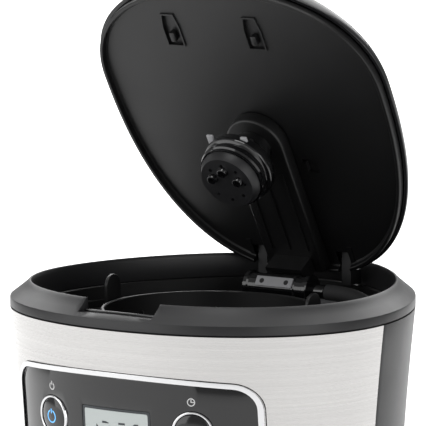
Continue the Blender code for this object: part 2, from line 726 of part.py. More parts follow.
def make_panel(steel, liner, liner_in):
    """The glossy control panel in its raised bezel, with its screen and electronics."""
    outer = plate_outline(PANEL_HALF_WIDTH + BEZEL, PANEL_TOP + BEZEL, PANEL_BOTTOM - BEZEL,
                          PANEL_CORNER + BEZEL, PANEL_DROOP)
    hole = plate_outline(PANEL_HALF_WIDTH + BEZEL + GAP, PANEL_TOP + BEZEL + GAP,
                         PANEL_BOTTOM - BEZEL - GAP, PANEL_CORNER + BEZEL + GAP, PANEL_DROOP)
    inner = plate_outline(PANEL_HALF_WIDTH + GAP, PANEL_TOP + GAP, PANEL_BOTTOM - GAP,
                          PANEL_CORNER + GAP, PANEL_DROOP)
    face = plate_outline(PANEL_HALF_WIDTH, PANEL_TOP, PANEL_BOTTOM, PANEL_CORNER, PANEL_DROOP)
    ahead, behind = PLAN_Y - FRONT_DEPTH - 10 * MM, PLAN_Y - 40 * MM
    opening = prism("panel_opening", hole, "Y", ahead, behind)
    boolean(steel, opening)
    boolean(liner, opening)
    margin = 12 * MM
    low, high = PANEL_BOTTOM - margin, PANEL_TOP + margin
    bezel = body_wall("panel_bezel", -BEZEL_PROUD, liner_in, low, high, "chrome")
    boolean(bezel, prism("bezel_shape", outer, "Y", ahead, behind), "INTERSECT")
    boolean(bezel, prism("bezel_hole", inner, "Y", ahead, behind))
    panel = body_wall("control_panel", -PANEL_PROUD, PANEL_WALL, low, high, "black_gloss")
    boolean(panel, prism("panel_shape", face, "Y", ahead, behind), "INTERSECT")

    corner = 1 * MM
    window_out = plate_outline(SCREEN_HALF_WIDTH + GAP, SCREEN_TOP + GAP, SCREEN_BOTTOM - GAP, corner + GAP, 0)
    window_in = plate_outline(SCREEN_HALF_WIDTH, SCREEN_TOP, SCREEN_BOTTOM, corner, 0)
    boolean(panel, prism("window_opening", window_out, "Y", ahead, behind))
    window = body_wall("display_window", 0, 2 * MM, low, high, "screen")
    boolean(window, prism("window_shape", window_in, "Y", ahead, behind), "INTERSECT")

    module_half = SCREEN_HALF_WIDTH + 3 * MM
    edge, _ = front_face(module_half, SCREEN_BOTTOM - 3 * MM, -PANEL_WALL - GAP)
    board_half, board_low, board_high = 49 * MM, PANEL_BOTTOM + 6 * MM, PANEL_TOP - 12 * MM
    board_edge, _ = front_face(board_half, board_low, -PANEL_WALL - GAP)
    box("display_module", (-module_half, edge.y, SCREEN_BOTTOM - 3 * MM),
        (module_half, board_edge.y - GAP, SCREEN_TOP + 3 * MM), "grey_plastic")
    box("control_board", (-board_half, board_edge.y, board_low),
        (board_half, board_edge.y + 1.6 * MM, board_high), "board_green")
    return panel, board_edge.y


def make_button(name, panel, board_y, x, z, radius, finish, ring=None):
    """A push button that stands on the panel, with its stem behind and maybe a bright ring."""
    point, normal = front_face(x, z, PANEL_PROUD)
    socket = radius + GAP if ring is None else radius + GAP + ROUND_RING_WIDTH + GAP
    hole = rod(f"{name}_hole", point + normal * 6 * MM, point - normal * 12 * MM, socket, sides=SMALL_STEPS)
    boolean(panel, hole)
    depth = (board_y - point.y) / -normal.y - BUTTON_TRAVEL - 3 * MM
    cap_depth, dome, stem_r = 4.2 * MM, 1.6 * MM, 2 * MM
    cap = turned(name, [
        (0, dome), (radius * 0.6, dome * 0.75), (radius * 0.9, dome * 0.2), (radius, -0.6 * MM),
        (radius, -cap_depth), (stem_r, -cap_depth), (stem_r, -depth), (0, -depth),
    ], finish, closed=False)
    on_face(cap, x, z)
    if ring:
        ring_in, ring_out = radius + GAP, radius + GAP + ROUND_RING_WIDTH
        bright = turned(ring, [
            (ring_in, 0.7 * MM), (ring_out - 0.3 * MM, 0.7 * MM), (ring_out, 0.4 * MM),
            (ring_out, -PANEL_WALL), (ring_in, -PANEL_WALL),
        ], "chrome")
        on_face(bright, x, z)


def make_buttons(panel, board_y):
    """Two large ringed buttons, and two small ones under the screen."""
    cap_r = ROUND_RING_R - ROUND_RING_WIDTH - GAP
    make_button("power_button", panel, board_y, -ROUND_X, ROUND_Z, cap_r, "black_gloss", "power_ring")
    make_button("timer_button", panel, board_y, ROUND_X, ROUND_Z, cap_r, "black_gloss", "timer_ring")
    make_button("hour_button", panel, board_y, -SMALL_X, SMALL_Z, SMALL_R, "grey_plastic")
    make_button("minute_button", panel, board_y, SMALL_X, SMALL_Z, SMALL_R, "grey_plastic")


# Lid, built closed with Y and Z measured from the hinge's axis


def lid_oval(inset, side=0.0, front=0.0, back=0.0, tail=HINGE_TAIL):
    """The lid's outline, moved in by a distance, and more at its sides, front or back."""
    powers = (LID_FRONT_POWER, LID_BACK_POWER)
    return oval(LID_HALF_WIDTH - inset - side, LID_FRONT - inset - front, LID_BACK - inset - back,
                powers, LID_OFFSET - HINGE_OFFSET, tail - inset)


def at_lid(rise):
    """A height over the rim, measured from the hinge's axis."""
    return rise - HINGE_RISE


def make_lid(hinge):
    """The lid: cover, liner with its two hinge yokes, hinge rod and water duct."""
    skins = []
    for inset in (0, LID_WALL):
        skins.append([
            (lid_oval(inset), at_lid(LID_EDGE)),
            (lid_oval(inset, 0.5 * MM), at_lid(3 * MM)),
            (lid_oval(inset, 5 * MM, 0.5 * MM, 0), at_lid(8 * MM - inset / 2)),
            (lid_oval(inset, 12 * MM, 4 * MM, 1 * MM), at_lid(12.2 * MM - inset)),
            (lid_oval(inset, 38 * MM, 22 * MM, 16 * MM, HINGE_TAIL - 6 * MM), at_lid(LID_CROWN - inset)),
        ])
    cover = stack("lid_cover", skins[0][::-1] + skins[1], "black_gloss", parent=hinge)

    lip_out, lip_in = LID_WALL + GAP, LID_WALL + GAP + 2 * MM
    liner_top = LINER_FACE + 1.8 * MM
    liner = stack("lid_liner", [
        (lid_oval(lip_out + 1 * MM), at_lid(liner_top)), (lid_oval(lip_out), at_lid(LINER_FACE)),
        (lid_oval(lip_out), at_lid(LID_UNDERSIDE)), (lid_oval(lip_in), at_lid(LID_UNDERSIDE)),
        (lid_oval(lip_in + 0.5 * MM), at_lid(LINER_FACE)),
    ], "black_matte", parent=hinge)

    ear_in, ear_out = HINGE_EAR_X
    slot_side = 1 * MM
    ear_slot_front = -(HINGE_EAR_R + 1.5 * MM)
    yoke_wall = 3 * MM
    yoke_top = HINGE_EAR_R + GAP
    for side, sign in (("left", -1), ("right", 1)):
        first, last = sorted((sign * (ear_in - slot_side - yoke_wall), sign * (ear_out + slot_side + yoke_wall)))
        yoke = box(f"{side}_yoke", (first, ear_slot_front - 5 * MM, at_lid(LINER_FACE + 0.6 * MM)),
                   (last, HINGE_EAR_R - 1.3 * MM, HINGE_EAR_R - 1.1 * MM), parent=hinge)
        boolean(liner, yoke, "UNION")
        near, far = sorted((sign * (ear_in - slot_side), sign * (ear_out + slot_side)))
        slot = box(f"{side}_ear_slot", (near, ear_slot_front, -30 * MM), (far, 30 * MM, yoke_top), parent=hinge)
        boolean(cover, slot)
        boolean(liner, slot)
    rod_end = ear_out + slot_side + yoke_wall
    rod("hinge_rod", (-rod_end, 0, 0), (rod_end, 0, 0), HINGE_PIN_R, "steel", parent=hinge, sides=16)
    boolean(liner, rod("rod_hole", (-rod_end - 1 * MM, 0, 0), (rod_end + 1 * MM, 0, 0),
                       HINGE_PIN_R + GAP / 2, parent=hinge, sides=16))

    for name, x in (("left_clip_slot", -35 * MM), ("right_clip_slot", 18 * MM)):
        y = -50 * MM - HINGE_OFFSET
        boolean(liner, box(name, (x - 5 * MM, y - 10 * MM, -30 * MM), (x + 5 * MM, y + 10 * MM, 0),
                           parent=hinge))
    make_duct(hinge)


def make_duct(hinge):
    """The water duct under the liner, from the swivel barrel to the spray head."""
    top = at_lid(LINER_FACE) - GAP
    low = top - DUCT_DEPTH
    spray_y = SPRAY_OFFSET - HINGE_OFFSET
    barrel_y, barrel_z = BARREL_OFFSET - HINGE_OFFSET, at_lid(-BARREL_DROP)
    arc = [math.pi * (1 + step / 10) for step in range(11)]
    plan = [(DUCT_HALF_WIDTH * math.cos(a), spray_y + DUCT_HALF_WIDTH * math.sin(a)) for a in arc]
    back = barrel_y + 3 * MM
    plan += [(DUCT_HALF_WIDTH, back), (-DUCT_HALF_WIDTH, back)]
    duct = stack("water_duct", [(plan, top), (plan, low)], "black_matte", parent=hinge)
    neck = box("duct_neck", (-12 * MM, barrel_y - 8 * MM, barrel_z + BARREL_R - 1.6 * MM),
               (12 * MM, barrel_y + 2 * MM, low + 1 * MM), parent=hinge)
    boolean(duct, neck, "UNION")
    boolean(duct, rod("barrel_seat", (-BARREL_LENGTH, barrel_y, barrel_z), (BARREL_LENGTH, barrel_y, barrel_z),
                      BARREL_R + GAP, parent=hinge, sides=SMALL_STEPS))

    head_top = low - GAP
    spray = turned("spray_head", [
        (0, head_top), (11 * MM, head_top), (11 * MM, head_top - 13 * MM), (SPRAY_R, head_top - 15 * MM),
        (SPRAY_R, head_top - 21 * MM), (SPRAY_R - 2 * MM, head_top - 22 * MM),
        (SPRAY_R - 2 * MM, head_top - 28 * MM), (0, head_top - 28 * MM),
    ], "black_gloss", closed=False, steps=SMALL_STEPS, parent=hinge)
    plate_top = head_top - 28 * MM - GAP
    plate = turned("spray_plate", [
        (0, plate_top), (SPRAY_R - 3 * MM, plate_top), (SPRAY_R - 5 * MM, plate_top - 5 * MM),
        (0, plate_top - 5 * MM),
    ], "black_plastic", closed=False, steps=SMALL_STEPS, parent=hinge)
    spray.location.y = plate.location.y = spray_y

    half = BARREL_LENGTH / 2
    barrel = turned("swivel_barrel", [
        (0, half + SPIGOT), (4 * MM, half + SPIGOT), (4 * MM, half), (BARREL_R, half),
        (BARREL_R, half - 3 * MM), (BARREL_R - 1 * MM, half - 3.5 * MM),
        (BARREL_R - 1 * MM, -half + 3.5 * MM), (BARREL_R, -half + 3 * MM), (BARREL_R, -half), (0, -half),
    ], "black_plastic", closed=False, steps=SMALL_STEPS, parent=hinge)
    barrel.location = (0, barrel_y, barrel_z)
    barrel.rotation_euler.y = math.pi / 2
    face = Vector((0, -math.cos(math.radians(28)), -math.sin(math.radians(28))))
    clip = box("barrel_plate", (-12 * MM, -3 * MM, 0), (12 * MM, 3 * MM, 1 * MM), "steel", parent=hinge)
    clip.rotation_mode = "QUATERNION"
    clip.rotation_quaternion = face.to_track_quat("Z", "X") @ Matrix.Rotation(math.pi / 2, 3, "Z").to_quaternion()
    clip.location = Vector((0, barrel_y, barrel_z)) + face * (BARREL_R - 1 * MM + GAP)


def make_hinge_brackets():
    """The two ears that stand up from the rim's skirt and carry the lid's pins."""
    ear_in, ear_out = HINGE_EAR_X
    skirt = RIM_WIDTH + LINER_WALL
    wide, deep = HALF_WIDTH - skirt, BACK_DEPTH - skirt
    wall_y = deep * (1 - (ear_out / wide) ** BACK_POWER) ** (1 / BACK_POWER) - GAP
    arc = [math.pi * step / 8 for step in range(9)]
    centre = HINGE_OFFSET
    outline = [(centre + HINGE_EAR_R * math.cos(a), HINGE_Z + HINGE_EAR_R * math.sin(a)) for a in arc]
    foot_top, foot_low = RIM_TOP - 4.5 * MM, RIM_TOP - 12.5 * MM
    outline += [(centre - HINGE_EAR_R, foot_low), (wall_y, foot_low), (wall_y, foot_top),
                (centre + HINGE_EAR_R, foot_top)]
    for side, sign in (("left", -1), ("right", 1)):
        near, far = sorted((sign * ear_in, sign * ear_out))
        ear = prism(f"hinge_bracket_{side}", [(PLAN_Y + y, z) for y, z in outline], "X", near, far,
                    "black_plastic")
        boolean(ear, rod(f"{side}_ear_hole", (near - 1 * MM, HINGE_Y, HINGE_Z), (far + 1 * MM, HINGE_Y, HINGE_Z),
                         HINGE_PIN_R + GAP / 2, sides=16))


def opened(y, z):
    """Where a point of the closed lid, measured from the hinge, is when the lid is open."""
    turn = Matrix.Rotation(-OPEN_ANGLE, 3, "X") @ Vector((0, y, z))
    return HINGE_Y + turn.y, HINGE_Z + turn.z


def make_supply_hose():
    """The soft hose from the riser to the barrel's spigot, shaped for the open lid."""
    y, z = opened(BARREL_OFFSET - HINGE_OFFSET, at_lid(-BARREL_DROP))
    start = BARREL_LENGTH / 2 + SPIGOT + GAP
    rise_y = PLAN_Y + RISER_Y
    tube("supply_hose", bent_route([
        (start, y, z), (start + 14 * MM, y, z), (RISER_X, (y + rise_y) / 2, z - 8 * MM),
        (RISER_X, rise_y, RISER_TOP + 8 * MM), (RISER_X, rise_y, RISER_TOP + GAP),
    ], 6 * MM), RISER_R, "silicone")


# Carafe


def make_carafe():
    """The glass carafe on the warming plate, with its band, handle and twist-off lid."""
    low = PLATE_TOP + GAP
    belly, neck, top = CARAFE_R, CARAFE_NECK_R, CARAFE_TOP
    outer = [
        (neck + 1.5 * MM, top), (neck, top - 3 * MM), (neck, top - 15 * MM), (neck + 5 * MM, top - 27 * MM),
        (belly - 4 * MM, top - 52 * MM), (belly, top - 80 * MM), (belly - 0.5 * MM, low + 18 * MM),
        (belly - 5 * MM, low + 4 * MM), (belly - 11 * MM, low),
    ]
    inner = [(radius - GLASS, z + (GLASS if z < low + 10 * MM else 0)) for radius, z in reversed(outer)]
    centre = [(0, low), (0, low + GLASS)]
    glass = turned("carafe_glass", outer + centre + inner, "glass", closed=True, steps=LARGE_STEPS)
    band_top = top - 3 * MM
    band_in, band_out = neck + GAP, neck + GAP + 1.2 * MM
    band = turned("carafe_band", [
        (band_out, band_top), (band_out, band_top - BAND_HEIGHT), (band_in, band_top - BAND_HEIGHT),
        (band_in, band_top),
    ], "steel", steps=LARGE_STEPS)

    root = -band_out - GAP
    reach, thick = -HANDLE_REACH, HANDLE_THICKNESS
    arm_top, arm_low, tip = band_top + 2 * MM, band_top - BAND_HEIGHT, top - 97 * MM
    quarter = [math.pi / 2 * step / 5 for step in range(6)]
    big, small = 14 * MM, 6 * MM
    outline = [(root, arm_top)]
    outline += [(reach + big - big * math.sin(a), arm_top - big + big * math.cos(a)) for a in quarter]
    outline += [(reach, tip + small), (reach + small / 2, tip), (reach + thick - 2 * MM, tip),
                (reach + thick, tip + 3 * MM)]
    outline += [(reach + thick + small - small * math.cos(a), arm_low - small + small * math.sin(a))
                for a in quarter]
    outline += [(root, arm_low)]
    handle = prism("carafe_handle", outline, "X", -HANDLE_WIDTH / 2, HANDLE_WIDTH / 2, "black_plastic")
    bevel(handle, 3 * MM)

    lid_low = top + GAP
    throat = neck - GLASS - 0.6 * MM
    lid = turned("carafe_lid", [
        (14 * MM, HUB_TOP), (19 * MM, HUB_TOP - 10 * MM), (neck - 2 * MM, lid_low + 13 * MM),
        (neck + 2 * MM, lid_low + 8 * MM), (neck + 2 * MM, lid_low), (throat, lid_low),
        (throat, lid_low - 14 * MM), (throat - 2 * MM, lid_low - 14 * MM), (throat - 2 * MM, lid_low + 7 * MM),
        (6 * MM, lid_low + 9 * MM), (6 * MM, HUB_TOP),
    ], "black_plastic", steps=LARGE_STEPS)
    for made in (glass, band, handle, lid):
        made.location.y = BREW_Y


def main():
    """Build every piece."""
    make_water_path(*make_base())
    steel, liner, liner_in, drip_hole_r = make_body()
    make_rim()
    make_chamber(liner_in, drip_hole_r)
    make_basket()
    panel, board_y = make_panel(steel, liner, liner_in)
    make_buttons(panel, board_y)
    hinge = bpy.data.objects.new("lid_hinge_axis", None)
    PARTS.objects.link(hinge)
    hinge.location = (0, HINGE_Y, HINGE_Z)
    hinge.rotation_euler.x = -OPEN_ANGLE
    make_lid(hinge)
    make_hinge_brackets()
    make_supply_hose()
    make_carafe()


main()
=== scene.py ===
"""The looks of a programmable drip coffee maker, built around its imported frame.

Every piece is in metres in the frame's own axes: +Z up, the panel looks along -Y. Pieces of
the lid are modelled closed, from the hinge's axis, and turned open before they are finished.
"""

import json
import logging
import math
from dataclasses import dataclass
from enum import Enum
from typing import Iterable, Sequence

import bmesh
import bpy
from mathutils import Matrix, Vector


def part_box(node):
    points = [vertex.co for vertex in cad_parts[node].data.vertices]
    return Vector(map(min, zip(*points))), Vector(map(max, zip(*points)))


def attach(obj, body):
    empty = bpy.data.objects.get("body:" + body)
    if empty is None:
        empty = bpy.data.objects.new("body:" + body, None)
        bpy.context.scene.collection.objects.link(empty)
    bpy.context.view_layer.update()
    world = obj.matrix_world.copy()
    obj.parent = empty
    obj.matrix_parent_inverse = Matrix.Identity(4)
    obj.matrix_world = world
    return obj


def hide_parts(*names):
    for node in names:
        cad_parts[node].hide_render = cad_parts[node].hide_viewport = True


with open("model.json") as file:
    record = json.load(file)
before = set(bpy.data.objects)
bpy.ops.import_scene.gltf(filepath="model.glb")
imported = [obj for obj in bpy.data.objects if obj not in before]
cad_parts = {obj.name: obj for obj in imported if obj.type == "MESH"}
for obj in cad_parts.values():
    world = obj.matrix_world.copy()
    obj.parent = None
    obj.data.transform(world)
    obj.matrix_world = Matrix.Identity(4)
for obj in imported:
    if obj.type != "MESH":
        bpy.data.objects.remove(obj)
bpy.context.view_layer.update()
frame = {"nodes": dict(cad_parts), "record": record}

log = logging.getLogger("coffee_maker")
MM = 0.001

Outline = list[tuple[float, float]]
Ring = tuple[Outline, float]


# Shared shader effects


def effect(name: str, inputs: dict[str, float], outputs: Iterable[str]) -> tuple[bpy.types.NodeTree, bool]:
    """Find or start a node group with float sockets.

    Args:
        name: The group's name.
        inputs: Each input socket and its default.
        outputs: The output sockets.

    Returns:
        The group, and whether it still has to be wired.
    """
    found = bpy.data.node_groups.get(name)
    if found:
        return found, False
    group = bpy.data.node_groups.new(name, "ShaderNodeTree")
    for label, value in inputs.items():
        socket = group.interface.new_socket(name=label, in_out="INPUT", socket_type="NodeSocketFloat")
        socket.default_value = value
    for label in outputs:
        group.interface.new_socket(name=label, in_out="OUTPUT", socket_type="NodeSocketFloat")
    return group, True


def moulded_grain() -> bpy.types.NodeTree:
    """The fine spark-eroded texture of moulded plastic.

    Returns:
        A group with Height, and Tone, which drifts slowly about one half.
    """
    group, fresh = effect("moulded_grain", {"Scale": 900.0}, ("Height", "Tone"))
    if not fresh:
        return group
    nodes, links = group.nodes, group.links
    entry, leave = nodes.new("NodeGroupInput"), nodes.new("NodeGroupOutput")
    place = nodes.new("ShaderNodeTexCoord")
    pits, drift = nodes.new("ShaderNodeTexNoise"), nodes.new("ShaderNodeTexNoise")
    pits.inputs["Detail"].default_value = 4.0
    drift.inputs["Scale"].default_value = 28.0
    drift.inputs["Detail"].default_value = 5.0
    links.new(place.outputs["Object"], pits.inputs["Vector"])
    links.new(place.outputs["Object"], drift.inputs["Vector"])
    links.new(entry.outputs["Scale"], pits.inputs["Scale"])
    links.new(pits.outputs["Fac"], leave.inputs["Height"])
    links.new(drift.outputs["Fac"], leave.inputs["Tone"])
    return group


def brush_lines() -> bpy.types.NodeTree:
    """Long scratches that run level around a brushed metal wall.

    Returns:
        A group with Height, the fine lines, and Tone, their slow change from line to line.
    """
    group, fresh = effect("brush_lines", {"Fineness": 5200.0}, ("Height", "Tone"))
    if not fresh:
        return group
    nodes, links = group.nodes, group.links
    entry, leave = nodes.new("NodeGroupInput"), nodes.new("NodeGroupOutput")
    place = nodes.new("ShaderNodeTexCoord")
    stretch = nodes.new("ShaderNodeCombineXYZ")
    stretch.inputs["X"].default_value = 14.0
    stretch.inputs["Y"].default_value = 14.0
    links.new(entry.outputs["Fineness"], stretch.inputs["Z"])
    fine_place = nodes.new("ShaderNodeVectorMath")
    fine_place.operation = "MULTIPLY"
    links.new(place.outputs["Object"], fine_place.inputs[0])
    links.new(stretch.outputs["Vector"], fine_place.inputs[1])
    fine = nodes.new("ShaderNodeTexNoise")
    fine.inputs["Scale"].default_value = 1.0
    fine.inputs["Detail"].default_value = 3.0
    links.new(fine_place.outputs["Vector"], fine.inputs["Vector"])
    slow_place = nodes.new("ShaderNodeMapping")
    slow_place.inputs["Scale"].default_value = (5.0, 5.0, 900.0)
    links.new(place.outputs["Object"], slow_place.inputs["Vector"])
    slow = nodes.new("ShaderNodeTexNoise")
    slow.inputs["Scale"].default_value = 1.0
    slow.inputs["Detail"].default_value = 6.0
    links.new(slow_place.outputs["Vector"], slow.inputs["Vector"])
    links.new(fine.outputs["Fac"], leave.inputs["Height"])
    links.new(slow.outputs["Fac"], leave.inputs["Tone"])
    return group


def handling_film() -> bpy.types.NodeTree:
    """The faint uneven film that handling leaves on a glossy face.

    Returns:
        A group with Film, near zero where the face is clean.
    """
    group, fresh = effect("handling_film", {"Scale": 22.0}, ("Film",))
    if not fresh:
        return group
    nodes, links = group.nodes, group.links
    entry, leave = nodes.new("NodeGroupInput"), nodes.new("NodeGroupOutput")
    place, cloud = nodes.new("ShaderNodeTexCoord"), nodes.new("ShaderNodeTexNoise")
    cloud.inputs["Detail"].default_value = 8.0
    cloud.inputs["Roughness"].default_value = 0.65
    spread = nodes.new("ShaderNodeMapRange")
    spread.inputs["From Min"].default_value = 0.42
    spread.inputs["From Max"].default_value = 0.72
    links.new(place.outputs["Object"], cloud.inputs["Vector"])
    links.new(entry.outputs["Scale"], cloud.inputs["Scale"])
    links.new(cloud.outputs["Fac"], spread.inputs["Value"])
    links.new(spread.outputs["Result"], leave.inputs["Film"])
    return group


# Finishes


@dataclass(frozen=True)
class Finish:
    """A moulded or painted finish, with its grain and a drifting tone.

    Attributes:
        title: The material's name.
        colour: Base colour, linear.
        rough: Roughness in the clean places.
        metal: Metallic value.
        grain: How many grains fit in a metre.
        relief: Depth of the grain in metres.
        drift: How far the colour drifts, as a share.
        film: Roughness that handling adds.
        coat: Clear coat weight.
        glow: Emission strength of a lit mark.
    """

    title: str
    colour: tuple[float, float, float]
    rough: float
    metal: float = 0.0
    grain: float = 900.0
    relief: float = 0.00004
    drift: float = 0.25
    film: float = 0.05
    coat: float = 0.0
    glow: float = 0.0

    def material(self) -> bpy.types.Material:
        """Build the material once.

        Returns:
            The material.
        """
        found = bpy.data.materials.get(self.title)
        if found:
            return found
        made = bpy.data.materials.new(self.title)
        made.use_nodes = True
        made.diffuse_color = (*self.colour, 1.0)
        shader = made.node_tree.nodes["Principled BSDF"]
        shader.inputs["Metallic"].default_value = self.metal
        shader.inputs["Coat Weight"].default_value = self.coat
        shader.inputs["Coat Roughness"].default_value = 0.05
        self.dress(made.node_tree, shader)
        return made

    def tone(self, tree: bpy.types.NodeTree, shader: bpy.types.Node, source: bpy.types.NodeSocket) -> None:
        """Drive the base colour between a darker and a lighter value.

        Args:
            tree: The material's nodes.
            shader: Its Principled BSDF.
            source: A value about one half.
        """
        ramp = tree.nodes.new("ShaderNodeMix")
        ramp.data_type = "RGBA"
        ramp.inputs["A"].default_value = (*(value * (1 - self.drift) for value in self.colour), 1.0)
        ramp.inputs["B"].default_value = (*(min(1.0, value * (1 + self.drift)) for value in self.colour), 1.0)
        tree.links.new(source, ramp.inputs["Factor"])
        tree.links.new(ramp.outputs["Result"], shader.inputs["Base Color"])

    def dress(self, tree: bpy.types.NodeTree, shader: bpy.types.Node) -> None:
        """Wire grain, tone and film into the shader.

        Args:
            tree: The material's nodes.
            shader: Its Principled BSDF.
        """
        nodes, links = tree.nodes, tree.links
        grain = nodes.new("ShaderNodeGroup")
        grain.node_tree = moulded_grain()
        grain.inputs["Scale"].default_value = self.grain
        film = nodes.new("ShaderNodeGroup")
        film.node_tree = handling_film()
        rough = nodes.new("ShaderNodeMapRange")
        rough.inputs["To Min"].default_value = self.rough
        rough.inputs["To Max"].default_value = self.rough + self.film
        links.new(film.outputs["Film"], rough.inputs["Value"])
        links.new(rough.outputs["Result"], shader.inputs["Roughness"])
        self.tone(tree, shader, grain.outputs["Tone"])
        if self.relief:
            bump = nodes.new("ShaderNodeBump")
            bump.inputs["Distance"].default_value = self.relief
            bump.inputs["Strength"].default_value = 0.5
            links.new(grain.outputs["Height"], bump.inputs["Height"])
            links.new(bump.outputs["Normal"], shader.inputs["Normal"])
        if self.glow:
            shader.inputs["Emission Color"].default_value = (*self.colour, 1.0)
            shader.inputs["Emission Strength"].default_value = self.glow


@dataclass(frozen=True)
class BrushedFinish(Finish):
    """Metal with level brush lines."""

    fineness: float = 5200.0
    stretch: float = 0.7

    def dress(self, tree: bpy.types.NodeTree, shader: bpy.types.Node) -> None:
        """Wire the brush lines into the colour, the roughness and the bump.

        Args:
            tree: The material's nodes.
            shader: Its Principled BSDF.
        """
        nodes, links = tree.nodes, tree.links
        lines = nodes.new("ShaderNodeGroup")
        lines.node_tree = brush_lines()
        lines.inputs["Fineness"].default_value = self.fineness
        rough = nodes.new("ShaderNodeMapRange")
        rough.inputs["From Min"].default_value = 0.3
        rough.inputs["From Max"].default_value = 0.7
        rough.inputs["To Min"].default_value = self.rough - 0.05
        rough.inputs["To Max"].default_value = self.rough + 0.07
        links.new(lines.outputs["Height"], rough.inputs["Value"])
        links.new(rough.outputs["Result"], shader.inputs["Roughness"])
        self.tone(tree, shader, lines.outputs["Tone"])
        bump = nodes.new("ShaderNodeBump")
        bump.inputs["Distance"].default_value = self.relief
        bump.inputs["Strength"].default_value = 0.35
        links.new(lines.outputs["Height"], bump.inputs["Height"])
        links.new(bump.outputs["Normal"], shader.inputs["Normal"])
        shader.inputs["Anisotropic"].default_value = self.stretch


@dataclass(frozen=True)
class ClearFinish(Finish):
    """Clear glass or plastic with a faint film."""

    ior: float = 1.5

    def dress(self, tree: bpy.types.NodeTree, shader: bpy.types.Node) -> None:
        """Set the transmission and wire the film.

        Args:
            tree: The material's nodes.
            shader: Its Principled BSDF.
        """
        nodes, links = tree.nodes, tree.links
        shader.inputs["Base Color"].default_value = (*self.colour, 1.0)
        shader.inputs["Transmission Weight"].default_value = 1.0
        shader.inputs["IOR"].default_value = self.ior
        film = nodes.new("ShaderNodeGroup")
        film.node_tree = handling_film()
        rough = nodes.new("ShaderNodeMapRange")
        rough.inputs["To Min"].default_value = self.rough
        rough.inputs["To Max"].default_value = self.rough + self.film
        links.new(film.outputs["Film"], rough.inputs["Value"])
        links.new(rough.outputs["Result"], shader.inputs["Roughness"])


class Look(Enum):
    """Every finish on the machine."""

    SATIN_BLACK = Finish("satin_black", (0.011, 0.011, 0.012), 0.4, grain=1500, drift=0.12)
    LINER_BLACK = Finish("liner_black", (0.0035, 0.0035, 0.0038), 0.42, grain=1100, drift=0.2)
    GLOSS_BLACK = Finish("gloss_black", (0.004, 0.004, 0.0045), 0.1, relief=0.0, coat=0.5, film=0.06)
    LID_SKIN = Finish("lid_skin", (0.009, 0.009, 0.01), 0.24, grain=700, relief=0.00001, drift=0.1)
    STEEL = BrushedFinish("brushed_steel", (0.62, 0.61, 0.6), 0.27, 1.0, relief=0.00002, drift=0.1)
    CHROME = Finish("bright_chrome", (0.78, 0.78, 0.79), 0.1, 1.0, relief=0.0, drift=0.04)
    CAST = Finish("cast_aluminium", (0.62, 0.62, 0.62), 0.45, 1.0, grain=600, drift=0.15)
    SHEATH = Finish("heater_sheath", (0.3, 0.29, 0.28), 0.5, 1.0, drift=0.3)
    RUBBER = Finish("soft_rubber", (0.02, 0.02, 0.021), 0.75, grain=1800, drift=0.3)
    SILICONE = Finish("milky_silicone", (0.6, 0.59, 0.55), 0.45, grain=800, drift=0.08)
    COATING = Finish("plate_coating", (0.022, 0.022, 0.024), 0.38, grain=2600, relief=0.00008, drift=0.3)
    BOARD = Finish("green_board", (0.02, 0.16, 0.05), 0.4, grain=500, drift=0.2)
    GREY = Finish("grey_plastic", (0.3, 0.3, 0.31), 0.38, drift=0.08)
    WHITE = Finish("white_plastic", (0.75, 0.75, 0.73), 0.4, drift=0.05)
    DISPLAY = Finish("display_face", (0.5, 0.54, 0.53), 0.22, relief=0.0, drift=0.05, coat=0.6)
    INK = Finish("display_ink", (0.03, 0.035, 0.04), 0.4, relief=0.0, drift=0.05)
    PRINT = Finish("panel_print", (0.62, 0.62, 0.62), 0.5, relief=0.0, drift=0.05)
    LIT_MARK = Finish("lit_mark", (0.12, 0.42, 0.8), 0.3, relief=0.0, drift=0.0, glow=0.8)
    GLASS = ClearFinish("carafe_glass_finish", (0.96, 0.98, 0.97), 0.01, film=0.03, ior=1.47)
    CLEAR = ClearFinish("gauge_plastic", (0.85, 0.9, 0.92), 0.06, film=0.05, ior=1.49)


CAD_LOOKS = {
    "black_plastic": Look.SATIN_BLACK, "black_gloss": Look.GLOSS_BLACK, "black_matte": Look.LINER_BLACK,
    "steel": Look.STEEL, "chrome": Look.CHROME, "aluminium": Look.CAST, "heater": Look.SHEATH,
    "rubber": Look.RUBBER, "silicone": Look.SILICONE, "glass": Look.GLASS, "screen": Look.DISPLAY,
    "board_green": Look.BOARD, "grey_plastic": Look.GREY, "white_plastic": Look.WHITE,
    "plate_coating": Look.COATING,
}


# Modelling steps


def lay_aside() -> None:
    """Leave edit mode and deselect everything."""
    if bpy.context.object and bpy.context.object.mode != "OBJECT":
        bpy.ops.object.mode_set(mode="OBJECT")
    bpy.ops.object.select_all(action="DESELECT")


def take(piece: bpy.types.Object) -> None:
    """Make one piece the active and only selected object.

    Args:
        piece: The object to work on.
    """
    lay_aside()
    piece.select_set(True)
    bpy.context.view_layer.objects.active = piece


def seat_loop(ring: Ring, order: dict[tuple[float, ...], int]) -> dict[tuple[float, ...], int]:
    """Put the selected loop of the mesh in edit mode onto a ring.

    Args:
        ring: The outline and height where the loop goes.
        order: Which point of the outline each present place of the loop belongs to.

    Returns:
        The same for the loop's new places.
    """
    work = bmesh.from_edit_mesh(bpy.context.object.data)
    seated = {}
    for vert in (vert for vert in work.verts if vert.select):
        step = order[tuple(vert.co)]
        vert.co = (*ring[0][step], ring[1])
        seated[tuple(vert.co)] = step
    bmesh.update_edit_mesh(bpy.context.object.data)
    return seated


